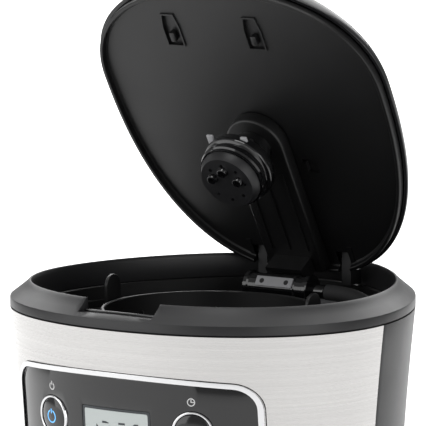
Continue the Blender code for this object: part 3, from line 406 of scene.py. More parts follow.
def loft(name: str, rings: Sequence[Ring], closed: bool = True) -> bpy.types.Object:
    """Pull a circle through a pile of outlines.

    Args:
        name: The piece's name.
        rings: Outlines with their heights, each of as many points.
        closed: Whether the last ring joins the first, as in a wall, or both ends are capped.

    Returns:
        The new object.
    """
    lay_aside()
    bpy.ops.mesh.primitive_circle_add(vertices=len(rings[0][0]), radius=1.0)
    made = bpy.context.object
    made.name = made.data.name = name
    order = {tuple(vert.co): step for step, vert in enumerate(made.data.vertices)}
    bpy.ops.object.mode_set(mode="EDIT")
    bpy.ops.mesh.select_mode(type="VERT")
    bpy.ops.mesh.select_all(action="SELECT")
    order = seat_loop(rings[0], order)
    if not closed:
        bpy.ops.mesh.edge_face_add()
    for ring in list(rings[1:]) + ([rings[0]] if closed else []):
        bpy.ops.mesh.extrude_edges_move()
        order = seat_loop(ring, order)
    if not closed:
        bpy.ops.mesh.edge_face_add()
    bpy.ops.mesh.select_all(action="SELECT")
    bpy.ops.mesh.remove_doubles(threshold=0.000002)
    bpy.ops.mesh.normals_make_consistent(inside=False)
    bpy.ops.object.mode_set(mode="OBJECT")
    return made


def circle(radius: float, steps: int = 64, x: float = 0.0, y: float = 0.0) -> Outline:
    """Points around a circle.

    Args:
        radius: The circle's radius.
        steps: How many points.
        x: Centre along X.
        y: Centre along Y.

    Returns:
        The outline.
    """
    turns = (2 * math.pi * step / steps for step in range(steps))
    return [(x + radius * math.cos(turn), y + radius * math.sin(turn)) for turn in turns]


def turned(name: str, profile: Sequence[tuple[float, float]], steps: int = 64,
           closed: bool = True) -> bpy.types.Object:
    """Turn a profile about Z.

    Args:
        name: The piece's name.
        profile: (radius, height) along the outer side and back along the inner one.
        steps: Facets around.
        closed: Whether the profile returns to its start.

    Returns:
        The new object.
    """
    return loft(name, [(circle(radius, steps), height) for radius, height in profile], closed)


def slab(name: str, outline: Outline, low: float, high: float) -> bpy.types.Object:
    """Raise a flat outline into a plate with caps.

    Args:
        name: The piece's name.
        outline: Its edge.
        low: Underside.
        high: Top.

    Returns:
        The new object.
    """
    return loft(name, [(outline, low), (outline, high)], closed=False)


def block(name: str, low: Sequence[float], high: Sequence[float]) -> bpy.types.Object:
    """A box between two corners, with its place in its mesh.

    Args:
        name: The piece's name.
        low: Lowest corner.
        high: Highest corner.

    Returns:
        The new object.
    """
    lay_aside()
    middle = (Vector(low) + Vector(high)) / 2
    bpy.ops.mesh.primitive_cube_add(size=1.0, location=middle, scale=Vector(high) - Vector(low))
    made = bpy.context.object
    made.name = made.data.name = name
    bpy.ops.object.transform_apply(location=True, rotation=True, scale=True)
    return made


def place(piece: bpy.types.Object, where: Matrix) -> bpy.types.Object:
    """Move a piece's mesh, leaving its object at the origin.

    Args:
        piece: The object.
        where: The move.

    Returns:
        The same object.
    """
    piece.data.transform(where)
    return piece


def merge(piece: bpy.types.Object, others: Iterable[bpy.types.Object]) -> bpy.types.Object:
    """Join loose details into one piece.

    Args:
        piece: The object that stays.
        others: Objects that go into it.

    Returns:
        The same object.
    """
    take(piece)
    for other in others:
        other.select_set(True)
    bpy.ops.object.join()
    return piece


def cut(piece: bpy.types.Object, tool: bpy.types.Object, operation: str = "DIFFERENCE"
        ) -> bpy.types.Object:
    """Cut a piece with a tool that is then thrown away.

    Args:
        piece: The object that is cut.
        tool: The cutter.
        operation: A Boolean operation.

    Returns:
        The same object.
    """
    take(piece)
    step = piece.modifiers.new("cut", "BOOLEAN")
    step.operation = operation
    step.solver = "EXACT"
    step.object = tool
    bpy.ops.object.modifier_apply(modifier=step.name)
    bpy.data.objects.remove(tool, do_unlink=True)
    return piece


def ease(piece: bpy.types.Object, width: float, segments: int = 3, angle: float = 40.0) -> bpy.types.Object:
    """Round the sharp edges of a piece.

    Args:
        piece: The object.
        width: Radius of the rounding.
        segments: Facets across it.
        angle: Edges sharper than this many degrees are rounded.

    Returns:
        The same object.
    """
    take(piece)
    step = piece.modifiers.new("ease", "BEVEL")
    step.width = width
    step.segments = segments
    step.limit_method = "ANGLE"
    step.angle_limit = math.radians(angle)
    step.harden_normals = False
    bpy.ops.object.modifier_apply(modifier=step.name)
    return piece


def finish(piece: bpy.types.Object, look: Look, body: str, nodes: Sequence[str] = (),
           smooth: float = 32.0) -> bpy.types.Object:
    """Shade, dress and mount a finished piece.

    Args:
        piece: The object.
        look: Its finish.
        body: The body it rides on.
        nodes: The frame's nodes that it stands for.
        smooth: Edges flatter than this many degrees are shaded smooth.

    Returns:
        The same object.
    """
    take(piece)
    bpy.ops.object.shade_smooth_by_angle(angle=math.radians(smooth))
    piece.data.materials.clear()
    piece.data.materials.append(look.value.material())
    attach(piece, body)
    if nodes:
        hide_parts(*nodes)
    log.info("%s: %d faces", piece.name, len(piece.data.polygons))
    return piece


def smooth_rows(rows: Sequence[tuple[float, ...]], steps: int = 4) -> list[tuple[float, ...]]:
    """Read more rows from a smooth curve through a few.

    Args:
        rows: Rows of as many numbers.
        steps: New rows for each gap.

    Returns:
        The finer rows, which pass through the given ones.
    """
    finer = []
    for index in range(len(rows) - 1):
        row0, row1 = rows[max(index - 1, 0)], rows[index]
        row2, row3 = rows[index + 1], rows[min(index + 2, len(rows) - 1)]
        for step in range(steps):
            t = step / steps
            finer.append(tuple(
                0.5 * (2 * b + (c - a) * t + (2 * a - 5 * b + 4 * c - d) * t * t
                       + (3 * b - a - 3 * c + d) * t ** 3)
                for a, b, c, d in zip(row0, row1, row2, row3)
            ))
    return finer + [rows[-1]]


# Plan of the machine


@dataclass
class BodyPlan:
    """The oval body: its outline, its waist and its levels, read from the frame's boxes."""

    half_width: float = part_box("top_rim")[1].x
    front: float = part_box("top_rim")[0].y
    back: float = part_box("top_rim")[1].y
    front_depth: float = 94 * MM
    front_power: float = 2.12
    back_power: float = 1.8
    steps: int = 160
    rim_top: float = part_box("top_rim")[1].z
    band_bottom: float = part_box("top_rim")[0].z - 0.3 * MM
    head_bottom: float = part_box("steel_band")[0].z
    base_top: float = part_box("base_shell")[1].z
    deck_top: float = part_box("inner_deck")[1].z
    waist_z: float = 150 * MM
    waist_inset: float = 9.9 * MM

    @property
    def middle(self) -> float:
        """Y of the widest section."""
        return self.front + self.front_depth

    @property
    def brew_y(self) -> float:
        """Y of the brewing axis."""
        low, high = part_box("brew_chamber")
        return (low.y + high.y) / 2

    def waist(self, z: float) -> float:
        """How far the wall leans in at a height."""
        rise = min((z - self.waist_z) / (self.band_bottom - self.waist_z), 1.0)
        return self.waist_inset * (1 - rise ** 2)

    def oval(self, inset: float) -> Outline:
        """The body's outline, moved in."""
        front, back = self.front_depth - inset, self.back - self.middle - inset
        return superoval(self.half_width - inset, front, back, (self.front_power, self.back_power),
                         self.middle, self.steps)

    def heights(self, low: float, high: float, spacing: float = 10 * MM) -> list[float]:
        """Levels close enough to follow the waist."""
        count = max(1, round((high - low) / spacing))
        return [low + (high - low) * step / count for step in range(count + 1)]

    def wall(self, name: str, outer: float, inner: float, low: float, high: float) -> bpy.types.Object:
        """A wall that follows the body's face, between two depths under it.

        Args:
            name: The piece's name.
            outer: Depth of its outer face.
            inner: Depth of its inner face.
            low: Lower edge.
            high: Upper edge.

        Returns:
            The new object.
        """
        rise = [(self.oval(self.waist(z) + outer), z) for z in self.heights(low, high)]
        fall = [(self.oval(self.waist(z) + inner), z) for z in reversed(self.heights(low, high))]
        return loft(name, rise + fall)

    def face(self, x: float, z: float, proud: float = 0.0) -> tuple[Vector, Vector]:
        """A place on the front face.

        Args:
            x: Across.
            z: Height.
            proud: How far the place stands out.

        Returns:
            The point and the outward direction.
        """
        inset = self.waist(z) - proud
        wide, deep = self.half_width - inset, self.front_depth - inset
        across = abs(x) / wide
        y = -deep * (1 - across ** self.front_power) ** (1 / self.front_power)
        along = abs(y) / deep
        lean = -2 * self.waist_inset * (z - self.waist_z) / (self.band_bottom - self.waist_z) ** 2
        normal = Vector((
            math.copysign(across ** (self.front_power - 1) / wide, x),
            -along ** (self.front_power - 1) / deep,
            lean * (across ** self.front_power / wide + along ** self.front_power / deep),
        ))
        return Vector((x, self.middle + y, z)), normal.normalized()

    def on_face(self, x: float, z: float, proud: float = 0.2 * MM) -> Matrix:
        """The move that stands a piece on the front face, its Z pointing out."""
        point, normal = self.face(x, z, proud)
        return Matrix.Translation(point) @ normal.to_track_quat("Z", "Y").to_matrix().to_4x4()


def superoval(half_width: float, front: float, back: float, powers: tuple[float, float], middle: float,
              steps: int) -> Outline:
    """One superellipse in front of the widest section and another behind.

    Args:
        half_width: Half the width.
        front: Depth of the front half.
        back: Depth of the back half.
        powers: Their powers.
        middle: Y of the widest section.
        steps: How many points.

    Returns:
        The outline.
    """
    points = []
    for step in range(steps):
        turn = 2 * math.pi * step / steps
        across, along = math.cos(turn), math.sin(turn)
        depth, power = (back, powers[1]) if along > 0 else (front, powers[0])
        x = math.copysign(abs(across) ** (2 / power), across) * half_width
        y = math.copysign(abs(along) ** (2 / power), along) * depth + middle
        points.append((x, y))
    return points


def far_box(low_y: float, high_y: float, low_z: float = -1.0, high_z: float = 1.0, low_x: float = -1.0,
            high_x: float = 1.0) -> bpy.types.Object:
    """A big cutter box."""
    return block("cutter", (low_x, low_y, low_z), (high_x, high_y, high_z))


def rod(name: str, start: Vector, end: Vector, radius: float, steps: int = 48) -> bpy.types.Object:
    """A cylinder between two points, made in place."""
    turn = (end - start).to_track_quat("Z", "Y").to_matrix().to_4x4()
    made = slab(name, circle(radius, steps), 0.0, (end - start).length)
    return place(made, Matrix.Translation(start) @ turn)


def plate_outline(half_width: float, top: float, bottom: float, corner: float, droop: float) -> Outline:
    """A rounded rectangle whose long edges bow.

    Args:
        half_width: Half the width.
        top: Upper edge at the middle.
        bottom: Lower edge at the middle.
        corner: Corner radius.
        droop: How far the edges bow away at the ends.

    Returns:
        The outline as (X, Z).
    """
    points = []
    corners = (
        (half_width - corner, top - corner), (corner - half_width, top - corner),
        (corner - half_width, bottom + corner), (half_width - corner, bottom + corner),
    )
    for quarter, (x, z) in enumerate(corners):
        for step in range(9):
            turn = math.pi / 2 * (quarter + step / 8)
            points.append((x + corner * math.cos(turn), z + corner * math.sin(turn)))
        if quarter in (0, 2):
            edge = z + math.copysign(corner, 1 - quarter)
            points += [(x * (1 - 2 * share / 16), edge) for share in range(1, 16)]
    middle = (top + bottom) / 2
    return [(x, z - math.copysign(droop * (x / half_width) ** 2, z - middle)) for x, z in points]


def panel_tool(outline: Outline, plan: BodyPlan) -> bpy.types.Object:
    """A cutter with an outline in X and Z, pushed through the front face."""
    made = slab("panel_cutter", outline, 0.0, 80 * MM)
    stand = Matrix.Rotation(math.pi / 2, 4, "X")
    return place(made, Matrix.Translation((0, plan.front + 60 * MM, 0)) @ stand)


# Sub-assemblies


@dataclass
class Shell:
    """The housing: steel band, rim, rear housing and base."""

    plan: BodyPlan
    sheet: float = 0.8 * MM
    wall: float = 2.2 * MM
    gap: float = 0.3 * MM
    rim_width: float = 11 * MM
    rim_slope: float = 8.9 * MM
    rim_skirt: float = 13.5 * MM
    skirt_wall: float = 2.0 * MM
    notch_half: float = 23.5 * MM
    notch_reach: float = 7.5 * MM
    notch_depth: float = 6.8 * MM
    gauge_half: float = 7 * MM
    gauge_turn: float = math.radians(40)
    gauge_back: float = 30 * MM
    print_lift: tuple[float, float, float] = (0.08 * MM, 0.06 * MM, 0.0)

    def build(self) -> None:
        """Build and dress every part of the housing."""
        self.steel_band()
        self.top_rim()
        self.rear_housing()
        self.inner_wall()
        self.base()
        self.gauge()

    def steel_band(self) -> None:
        """The brushed steel front, cut for the panel."""
        plan, panel = self.plan, Panel.outline(3.1 * MM)
        band = plan.wall("steel_wrap", 0, self.sheet, plan.head_bottom, plan.band_bottom - self.gap)
        cut(band, far_box(-1, plan.middle - self.gap / 2), "INTERSECT")
        cut(band, panel_tool(panel, plan))
        finish(band, Look.STEEL, "housing", ("steel_band",))

    def top_rim(self) -> None:
        """The chamfered rim with its finger notch and the thin rib in it."""
        plan, top = self.plan, self.plan.rim_top
        low, shoulder, width = plan.band_bottom + self.gap, top - self.rim_slope, self.rim_width
        skirt = width + self.skirt_wall
        rows = [
            (0.5 * MM, low), (0.0, low + 0.5 * MM), (0.0, shoulder - 0.5 * MM),
            (0.25 * MM, shoulder + 0.3 * MM),
            (5 * MM, top - 4.9 * MM), (9.2 * MM, top - 1.5 * MM), (width - 0.9 * MM, top - 0.4 * MM),
            (width - 0.2 * MM, top), (width + 0.4 * MM, top - 0.1 * MM), (width + 0.8 * MM, top - 0.6 * MM),
            (width + 1.1 * MM, top - 2.5 * MM), (skirt, top - self.rim_skirt),
            (width - 1 * MM, top - self.rim_skirt), (width - 1 * MM, low),
        ]
        rim = loft("rim_ring", [(plan.oval(inset), z) for inset, z in rows])
        edge = plan.front + width
        cut(rim, far_box(edge - self.notch_reach, edge + 8 * MM, top - self.notch_depth, 1,
                         -self.notch_half, self.notch_half))
        ease(rim, 0.5 * MM, 2, 50)
        finish(rim, Look.SATIN_BLACK, "housing", ("top_rim",))
        floor = top - self.notch_depth
        rib = block("notch_rib", (-self.notch_half + 1 * MM, edge - 2.2 * MM, floor - 0.5 * MM),
                    (self.notch_half - 1 * MM, edge - 1.2 * MM, floor + 1.3 * MM))
        ease(rib, 0.35 * MM)
        finish(rib, Look.GLOSS_BLACK, "housing")

    def rear_housing(self) -> None:
        """The satin black back, cut for the carafe's bay and the gauge."""
        plan = self.plan
        rear = plan.wall("rear_wrap", 0, self.wall, plan.base_top + self.gap, plan.band_bottom - self.gap)
        cut(rear, far_box(-1, plan.middle + self.gap / 2))
        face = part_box("column_front")[0].y - self.gap
        cut(rear, far_box(-1, face, -1, plan.head_bottom))
        cut(rear, self.gauge_tool(self.gap))
        ease(rear, 0.4 * MM, 2, 60)
        finish(rear, Look.SATIN_BLACK, "housing", ("rear_housing",))
        self.vents()

    def vents(self) -> None:
        """Steam vents: a row of shallow ribs at the back, under the rim."""
        ribs = []
        for step in range(-4, 5):
            x = step * 7 * MM
            y = self.plan.back - 0.9 * MM - 14 * x * x
            ribs.append(block("vent", (x - 1.2 * MM, y - 3 * MM, 290 * MM), (x + 1.2 * MM, y, 322 * MM)))
        row = merge(ribs[0], ribs[1:])
        row.name = row.data.name = "vent_ribs"
        ease(row, 0.5 * MM)
        finish(row, Look.LINER_BLACK, "housing")

    def gauge_tool(self, grow: float) -> bpy.types.Object:
        """The cutter that is the water gauge's outline, grown by a gap."""
        low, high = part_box("water_gauge")
        half = self.gauge_half + grow
        made = block("gauge_cutter", (0, -half, low.z - grow), (200 * MM, half, high.z + grow))
        turn = Matrix.Rotation(self.gauge_turn, 4, "Z")
        return place(made, Matrix.Translation((0, self.plan.middle + self.gauge_back, 0)) @ turn)

    def gauge(self) -> None:
        """The clear water gauge with its level marks."""
        plan = self.plan
        low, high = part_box("water_gauge")
        strip = plan.wall("gauge_strip", self.gap, self.wall, low.z - 10 * MM, high.z + 10 * MM)
        cut(strip, self.gauge_tool(0), "INTERSECT")
        finish(strip, Look.CLEAR, "housing", ("water_gauge",))
        turn = Matrix.Rotation(self.gauge_turn, 4, "Z")
        marks = []
        for step in range(10):
            z = low.z + (high.z - low.z) * (0.08 + 0.09 * step)
            reach = 5 * MM if step % 2 else 8 * MM
            tick = block("tick", (0, 8.5 * MM, z), (200 * MM, 8.5 * MM + reach, z + 0.9 * MM))
            marks.append(place(tick, Matrix.Translation((0, plan.middle + self.gauge_back, 0)) @ turn))
        ticks = merge(marks[0], marks[1:])
        skin = plan.wall("level_marks", 0.0, 0.15 * MM, low.z, high.z)
        cut(skin, ticks, "INTERSECT")
        place(skin, Matrix.Translation(self.print_lift))
        finish(skin, Look.PRINT, "housing")

    def inner_wall(self) -> None:
        """The collar under the rim, with its step."""
        plan = self.plan
        low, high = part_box("inner_wall")
        outer, inner = 13 * MM, 15 * MM
        rows = [(outer, low.z), (outer, high.z), (inner - 0.4 * MM, high.z), (inner, high.z - 0.4 * MM),
                (inner, low.z + 4 * MM), (inner + 0.6 * MM, low.z + 3.4 * MM), (inner + 0.6 * MM, low.z)]
        collar = loft("collar_ring", [(plan.oval(inset), z) for inset, z in rows])
        finish(collar, Look.LINER_BLACK, "housing", ("inner_wall",))

    def base(self) -> None:
        """The base shell with its seam and rounded top edge, the plate and its gasket."""
        plan = self.plan
        low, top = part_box("base_shell")[0].z, plan.base_top
        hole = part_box("plate_gasket")[1].x
        levels = [(plan.waist(low) + 0.8 * MM, low), (plan.waist(low), low + 1 * MM)]
        levels += [(plan.waist(z), z) for z in plan.heights(low + 4 * MM, top - 3 * MM, 8 * MM)]
        levels += [(plan.waist(top) + 0.3 * MM, top - 1 * MM), (plan.waist(top) + 1 * MM, top - 0.2 * MM),
                   (plan.waist(top) + 2 * MM, top), (plan.waist(top) + 3 * MM, top - self.wall),
                   (plan.waist(low) + 2.4 * MM, top - self.wall), (plan.waist(low) + 2.4 * MM, low)]
        wall = loft("base_wrap", [(plan.oval(inset), z) for inset, z in levels])
        lid = slab("base_deck", plan.oval(plan.waist(top) + 2 * MM), top - self.wall, top)
        tool = slab("hole", circle(hole - 2.4 * MM, 96, 0, plan.brew_y), 0, 1)
        cut(lid, tool)
        for x, y in ((-30 * MM, plan.back - 42 * MM), (61 * MM, plan.back - 53 * MM)):
            cut(lid, slab("hose_hole", circle(6.6 * MM, 32, x, y), 0, 1))
        gland_low, gland_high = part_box("cord_gland")
        middle, reach = (gland_low + gland_high) / 2, Vector((0, 12 * MM, 0))
        cut(wall, rod("gland_hole", middle - reach, middle + reach, 6.3 * MM))
        merge(wall, [lid])
        finish(wall, Look.SATIN_BLACK, "housing", ("base_shell",))
        self.plate()

    def plate(self) -> None:
        """The warming plate with a dished middle and its gasket."""
        plan = self.plan
        low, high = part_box("warming_plate")
        radius, top = high.x, high.z
        profile = [
            (0.5 * MM, top - 0.5 * MM), (44 * MM, top - 0.5 * MM), (46 * MM, top - 0.1 * MM), (48 * MM, top),
            (radius - 1.2 * MM, top), (radius - 0.3 * MM, top - 0.4 * MM), (radius, top - 1.2 * MM),
            (radius, low.z), (0.5 * MM, low.z),
        ]
        plate = turned("plate_disc", profile, 128, closed=False)
        place(plate, Matrix.Translation((0, plan.brew_y, 0)))
        finish(plate, Look.COATING, "housing", ("warming_plate",))
        seal_low, seal_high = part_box("plate_gasket")
        inner, outer = radius + self.gap, seal_high.x
        lip, seat = seal_high.z, seal_high.z - 0.9 * MM
        profile = [
            (inner, lip - 0.3 * MM), (inner + 0.3 * MM, lip), (outer - 0.8 * MM, lip), (outer, seat),
            (outer - 2.4 * MM, seat), (outer - 2.4 * MM, seal_low.z), (inner, seal_low.z),
        ]
        seal = turned("plate_seal", profile, 128)
        place(seal, Matrix.Translation((0, plan.brew_y, 0)))
        finish(seal, Look.RUBBER, "housing", ("plate_gasket",))


@dataclass
class Panel:
    """The control panel on the steel front."""

    plan: BodyPlan
    proud: float = 0.2 * MM
    bezel_proud: float = 1.3 * MM
    ring_width: float = 1.3 * MM
    gap: float = 0.3 * MM
    ring_r: float = 11.5 * MM
    round_x: float = 44.5 * MM
    round_z: float = 284 * MM
    small_r: float = 5.5 * MM
    small_x: float = 13 * MM
    small_z: float = 250 * MM
    print_z: float = 300.5 * MM

    @staticmethod
    def outline(grow: float = 0.0) -> Outline:
        """The panel's edge, grown by a distance."""
        low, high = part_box("control_panel")
        return plate_outline(high.x + grow, high.z + grow, low.z - grow, 10 * MM + grow, 3.4 * MM)

    def build(self) -> None:
        """Build and dress the panel, its screen and its buttons."""
        self.bezel()
        self.face()
        self.screen()
        for name, body, sign in (("power", "power_key", -1), ("timer", "timer_key", 1)):
            self.round_button(name, body, sign)
        for name, sign in (("hour", -1), ("minute", 1)):
            self.small_button(name, f"{name}_key", sign)
        self.symbols()

    def bezel(self) -> None:
        """The bright frame around the panel, rounded in front."""
        plan, top, low = self.plan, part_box("panel_bezel")[1].z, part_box("panel_bezel")[0].z
        bezel = plan.wall("bezel_frame", -self.bezel_proud, 3 * MM, low - 9 * MM, top + 9 * MM)
        cut(bezel, panel_tool(self.outline(2.8 * MM), plan), "INTERSECT")
        cut(bezel, panel_tool(self.outline(self.gap), plan))
        ease(bezel, 0.8 * MM, 4, 60)
        finish(bezel, Look.CHROME, "housing", ("panel_bezel",))

    def face(self) -> None:
        """The glossy black panel with its openings."""
        plan = self.plan
        low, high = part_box("control_panel")
        face = plan.wall("panel_face", -self.proud, 3.1 * MM, low.z - 9 * MM, high.z + 9 * MM)
        cut(face, panel_tool(self.outline(), plan), "INTERSECT")
        screen_low, screen_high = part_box("display_window")
        window = plate_outline(screen_high.x + self.gap, screen_high.z + self.gap, screen_low.z - self.gap,
                               1.2 * MM, 0)
        cut(face, panel_tool(window, plan))
        for x, z, radius in self.sockets():
            point, normal = plan.face(x, z, self.proud)
            cut(face, rod("socket", point - normal * 12 * MM, point + normal * 6 * MM, radius))
        ease(face, 0.25 * MM, 2, 60)
        finish(face, Look.GLOSS_BLACK, "housing", ("control_panel",))

    def sockets(self) -> list[tuple[float, float, float]]:
        """The place and radius of each button's hole."""
        rows = ((self.round_x, self.round_z, self.ring_r), (self.small_x, self.small_z, self.small_r))
        return [(side * x, z, radius + self.gap) for x, z, radius in rows for side in (-1, 1)]

    def screen(self) -> None:
        """The display: a dark inner border, its face and seven-stroke digits."""
        plan = self.plan
        low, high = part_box("display_window")
        window = plan.wall("display_face", 0.0, 1.2 * MM, low.z - 9 * MM, high.z + 9 * MM)
        cut(window, panel_tool(plate_outline(high.x, high.z, low.z, 1 * MM, 0), plan), "INTERSECT")
        finish(window, Look.DISPLAY, "housing", ("display_window",))
        border = plan.wall("display_border", -0.06 * MM, 0.3 * MM, low.z - 9 * MM, high.z + 9 * MM)
        inner = plate_outline(high.x - 1.4 * MM, high.z - 1.4 * MM, low.z + 1.4 * MM, 1 * MM, 0)
        cut(border, panel_tool(plate_outline(high.x, high.z, low.z, 1 * MM, 0), plan), "INTERSECT")
        cut(border, panel_tool(inner, plan))
        finish(border, Look.INK, "housing")
        middle = (low.z + high.z) / 2 - 1 * MM
        strokes = []
        for index, digit in enumerate("1200"):
            x = (-14.5 + 8.2 * index + (2.2 if index > 1 else 0)) * MM
            strokes += self.digit(digit, x, middle)
        strokes += [self.bar(0.6 * MM, 0.6 * MM, middle + side * 2.6 * MM, 1.2 * MM) for side in (-1, 1)]
        figures = merge(strokes[0], strokes[1:])
        figures.name = figures.data.name = "display_figures"
        finish(figures, Look.INK, "housing")

    def bar(self, x: float, width: float, z: float, height: float) -> bpy.types.Object:
        """One dark stroke on the display."""
        point, _ = self.plan.face(x, z, 0.06 * MM)
        return block("stroke", (x - width, point.y, z - height / 2),
                     (x + width, point.y + 0.4 * MM, z + height / 2))

    def digit(self, value: str, x: float, z: float) -> list[bpy.types.Object]:
        """The strokes of one digit.

        Args:
            value: The digit.
            x: Its centre across.
            z: Its centre in height.

        Returns:
            Its strokes.
        """
        half, tall, wide = 2.6 * MM, 5.6 * MM, 0.55 * MM
        strokes = {
            "a": (x, half - wide, z + tall, 1.1 * MM), "g": (x, half - wide, z, 1.1 * MM),
            "d": (x, half - wide, z - tall, 1.1 * MM), "f": (x - half, wide, z + tall / 2, tall - 1 * MM),
            "b": (x + half, wide, z + tall / 2, tall - 1 * MM),
            "e": (x - half, wide, z - tall / 2, tall - 1 * MM),
            "c": (x + half, wide, z - tall / 2, tall - 1 * MM),
        }
        shapes = {"0": "abcdef", "1": "bc", "2": "abged"}
        return [self.bar(*strokes[letter]) for letter in shapes[value]]

    def round_button(self, name: str, body: str, sign: int) -> None:
        """A large domed button in its bright ring."""
        radius = self.ring_r - self.ring_width - self.gap
        cap_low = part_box(f"{name}_button")
        depth = (cap_low[1] - cap_low[0]).y - 3.6 * MM
        profile = [(0.2 * MM, 1.6 * MM)]
        profile += [(radius * math.sin(a), 1.6 * MM * math.cos(a) ** 1.3 - 0.1 * MM) for a in
                    (math.pi / 2 * step / 10 for step in range(1, 10))]
        profile += [(radius, -0.6 * MM), (radius, -4.2 * MM), (2 * MM, -4.2 * MM), (2 * MM, -depth),
                    (0.2 * MM, -depth)]
        where = self.plan.on_face(sign * self.round_x, self.round_z)
        cap = place(turned(f"{name}_cap", profile, 64, closed=False), where)
        finish(cap, Look.GLOSS_BLACK, body, (f"{name}_button",), 40)
        inner, outer = radius + self.gap, radius + self.gap + self.ring_width
        rim = 0.7 * MM
        ring = turned(f"{name}_trim", [
            (inner, 0.35 * MM), (inner + 0.25 * MM, rim - 0.08 * MM), (inner + 0.5 * MM, rim),
            (outer - 0.5 * MM, rim),
            (outer - 0.15 * MM, rim - 0.15 * MM), (outer, 0.3 * MM), (outer, -3.1 * MM), (inner, -3.1 * MM),
        ], 96)
        finish(place(ring, where), Look.CHROME, "housing", (f"{name}_ring",))
        marks = self.power_mark() if name == "power" else self.clock_mark()
        mark = merge(marks[0], marks[1:])
        mark.name = mark.data.name = f"{name}_mark"
        finish(place(mark, where), Look.LIT_MARK if name == "power" else Look.PRINT, body)

    def power_mark(self, size: float = 3.6 * MM, lift: float = 1.35 * MM) -> list[bpy.types.Object]:
        """The generic on and off symbol: an open ring and a stroke."""
        ring = turned("arc", [(size, lift), (size, lift + 0.12 * MM), (size - 0.7 * MM, lift + 0.12 * MM),
                              (size - 0.7 * MM, lift)], 48)
        cut(ring, block("opening", (-1.1 * MM, 0, -1), (1.1 * MM, 1, 1)))
        stroke = block("stroke", (-0.35 * MM, 0.6 * MM, lift), (0.35 * MM, size + 0.6 * MM, lift + 0.12 * MM))
        return [ring, stroke]

    def clock_mark(self, size: float = 3.6 * MM, lift: float = 1.35 * MM) -> list[bpy.types.Object]:
        """A generic clock symbol: a ring and two hands."""
        ring = turned("dial", [(size, lift), (size, lift + 0.12 * MM), (size - 0.5 * MM, lift + 0.12 * MM),
                               (size - 0.5 * MM, lift)], 48)
        hands = [block("hand", (-0.25 * MM, -0.25 * MM, lift), (0.25 * MM, 2.4 * MM, lift + 0.12 * MM)),
                 block("hand", (0, -0.25 * MM, lift), (1.8 * MM, 0.25 * MM, lift + 0.12 * MM))]
        return [ring] + hands

    def small_button(self, name: str, body: str, sign: int) -> None:
        """A small button with a softly domed face."""
        radius, cap_low = self.small_r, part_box(f"{name}_button")
        depth = (cap_low[1] - cap_low[0]).y - 2.2 * MM
        profile = [(0.2 * MM, 1.5 * MM), (radius * 0.5, 1.3 * MM), (radius * 0.8, 0.7 * MM),
                   (radius * 0.95, 0.0), (radius, -0.8 * MM), (radius, -4.2 * MM), (2 * MM, -4.2 * MM),
                   (2 * MM, -depth), (0.2 * MM, -depth)]
        where = self.plan.on_face(sign * self.small_x, self.small_z)
        cap = place(turned(f"{name}_cap", profile, 48, closed=False), where)
        finish(cap, Look.GREY, body, (f"{name}_button",), 40)

    def symbols(self) -> None:
        """Small printed marks over the round buttons."""
        for name, sign, maker in (("power", -1, self.power_mark), ("timer", 1, self.clock_mark)):
            marks = maker(2.2 * MM, 0.0)
            mark = merge(marks[0], marks[1:])
            mark.name = mark.data.name = f"{name}_print"
            where = self.plan.on_face(sign * self.round_x, self.print_z)
            finish(place(mark, where), Look.PRINT, "housing")


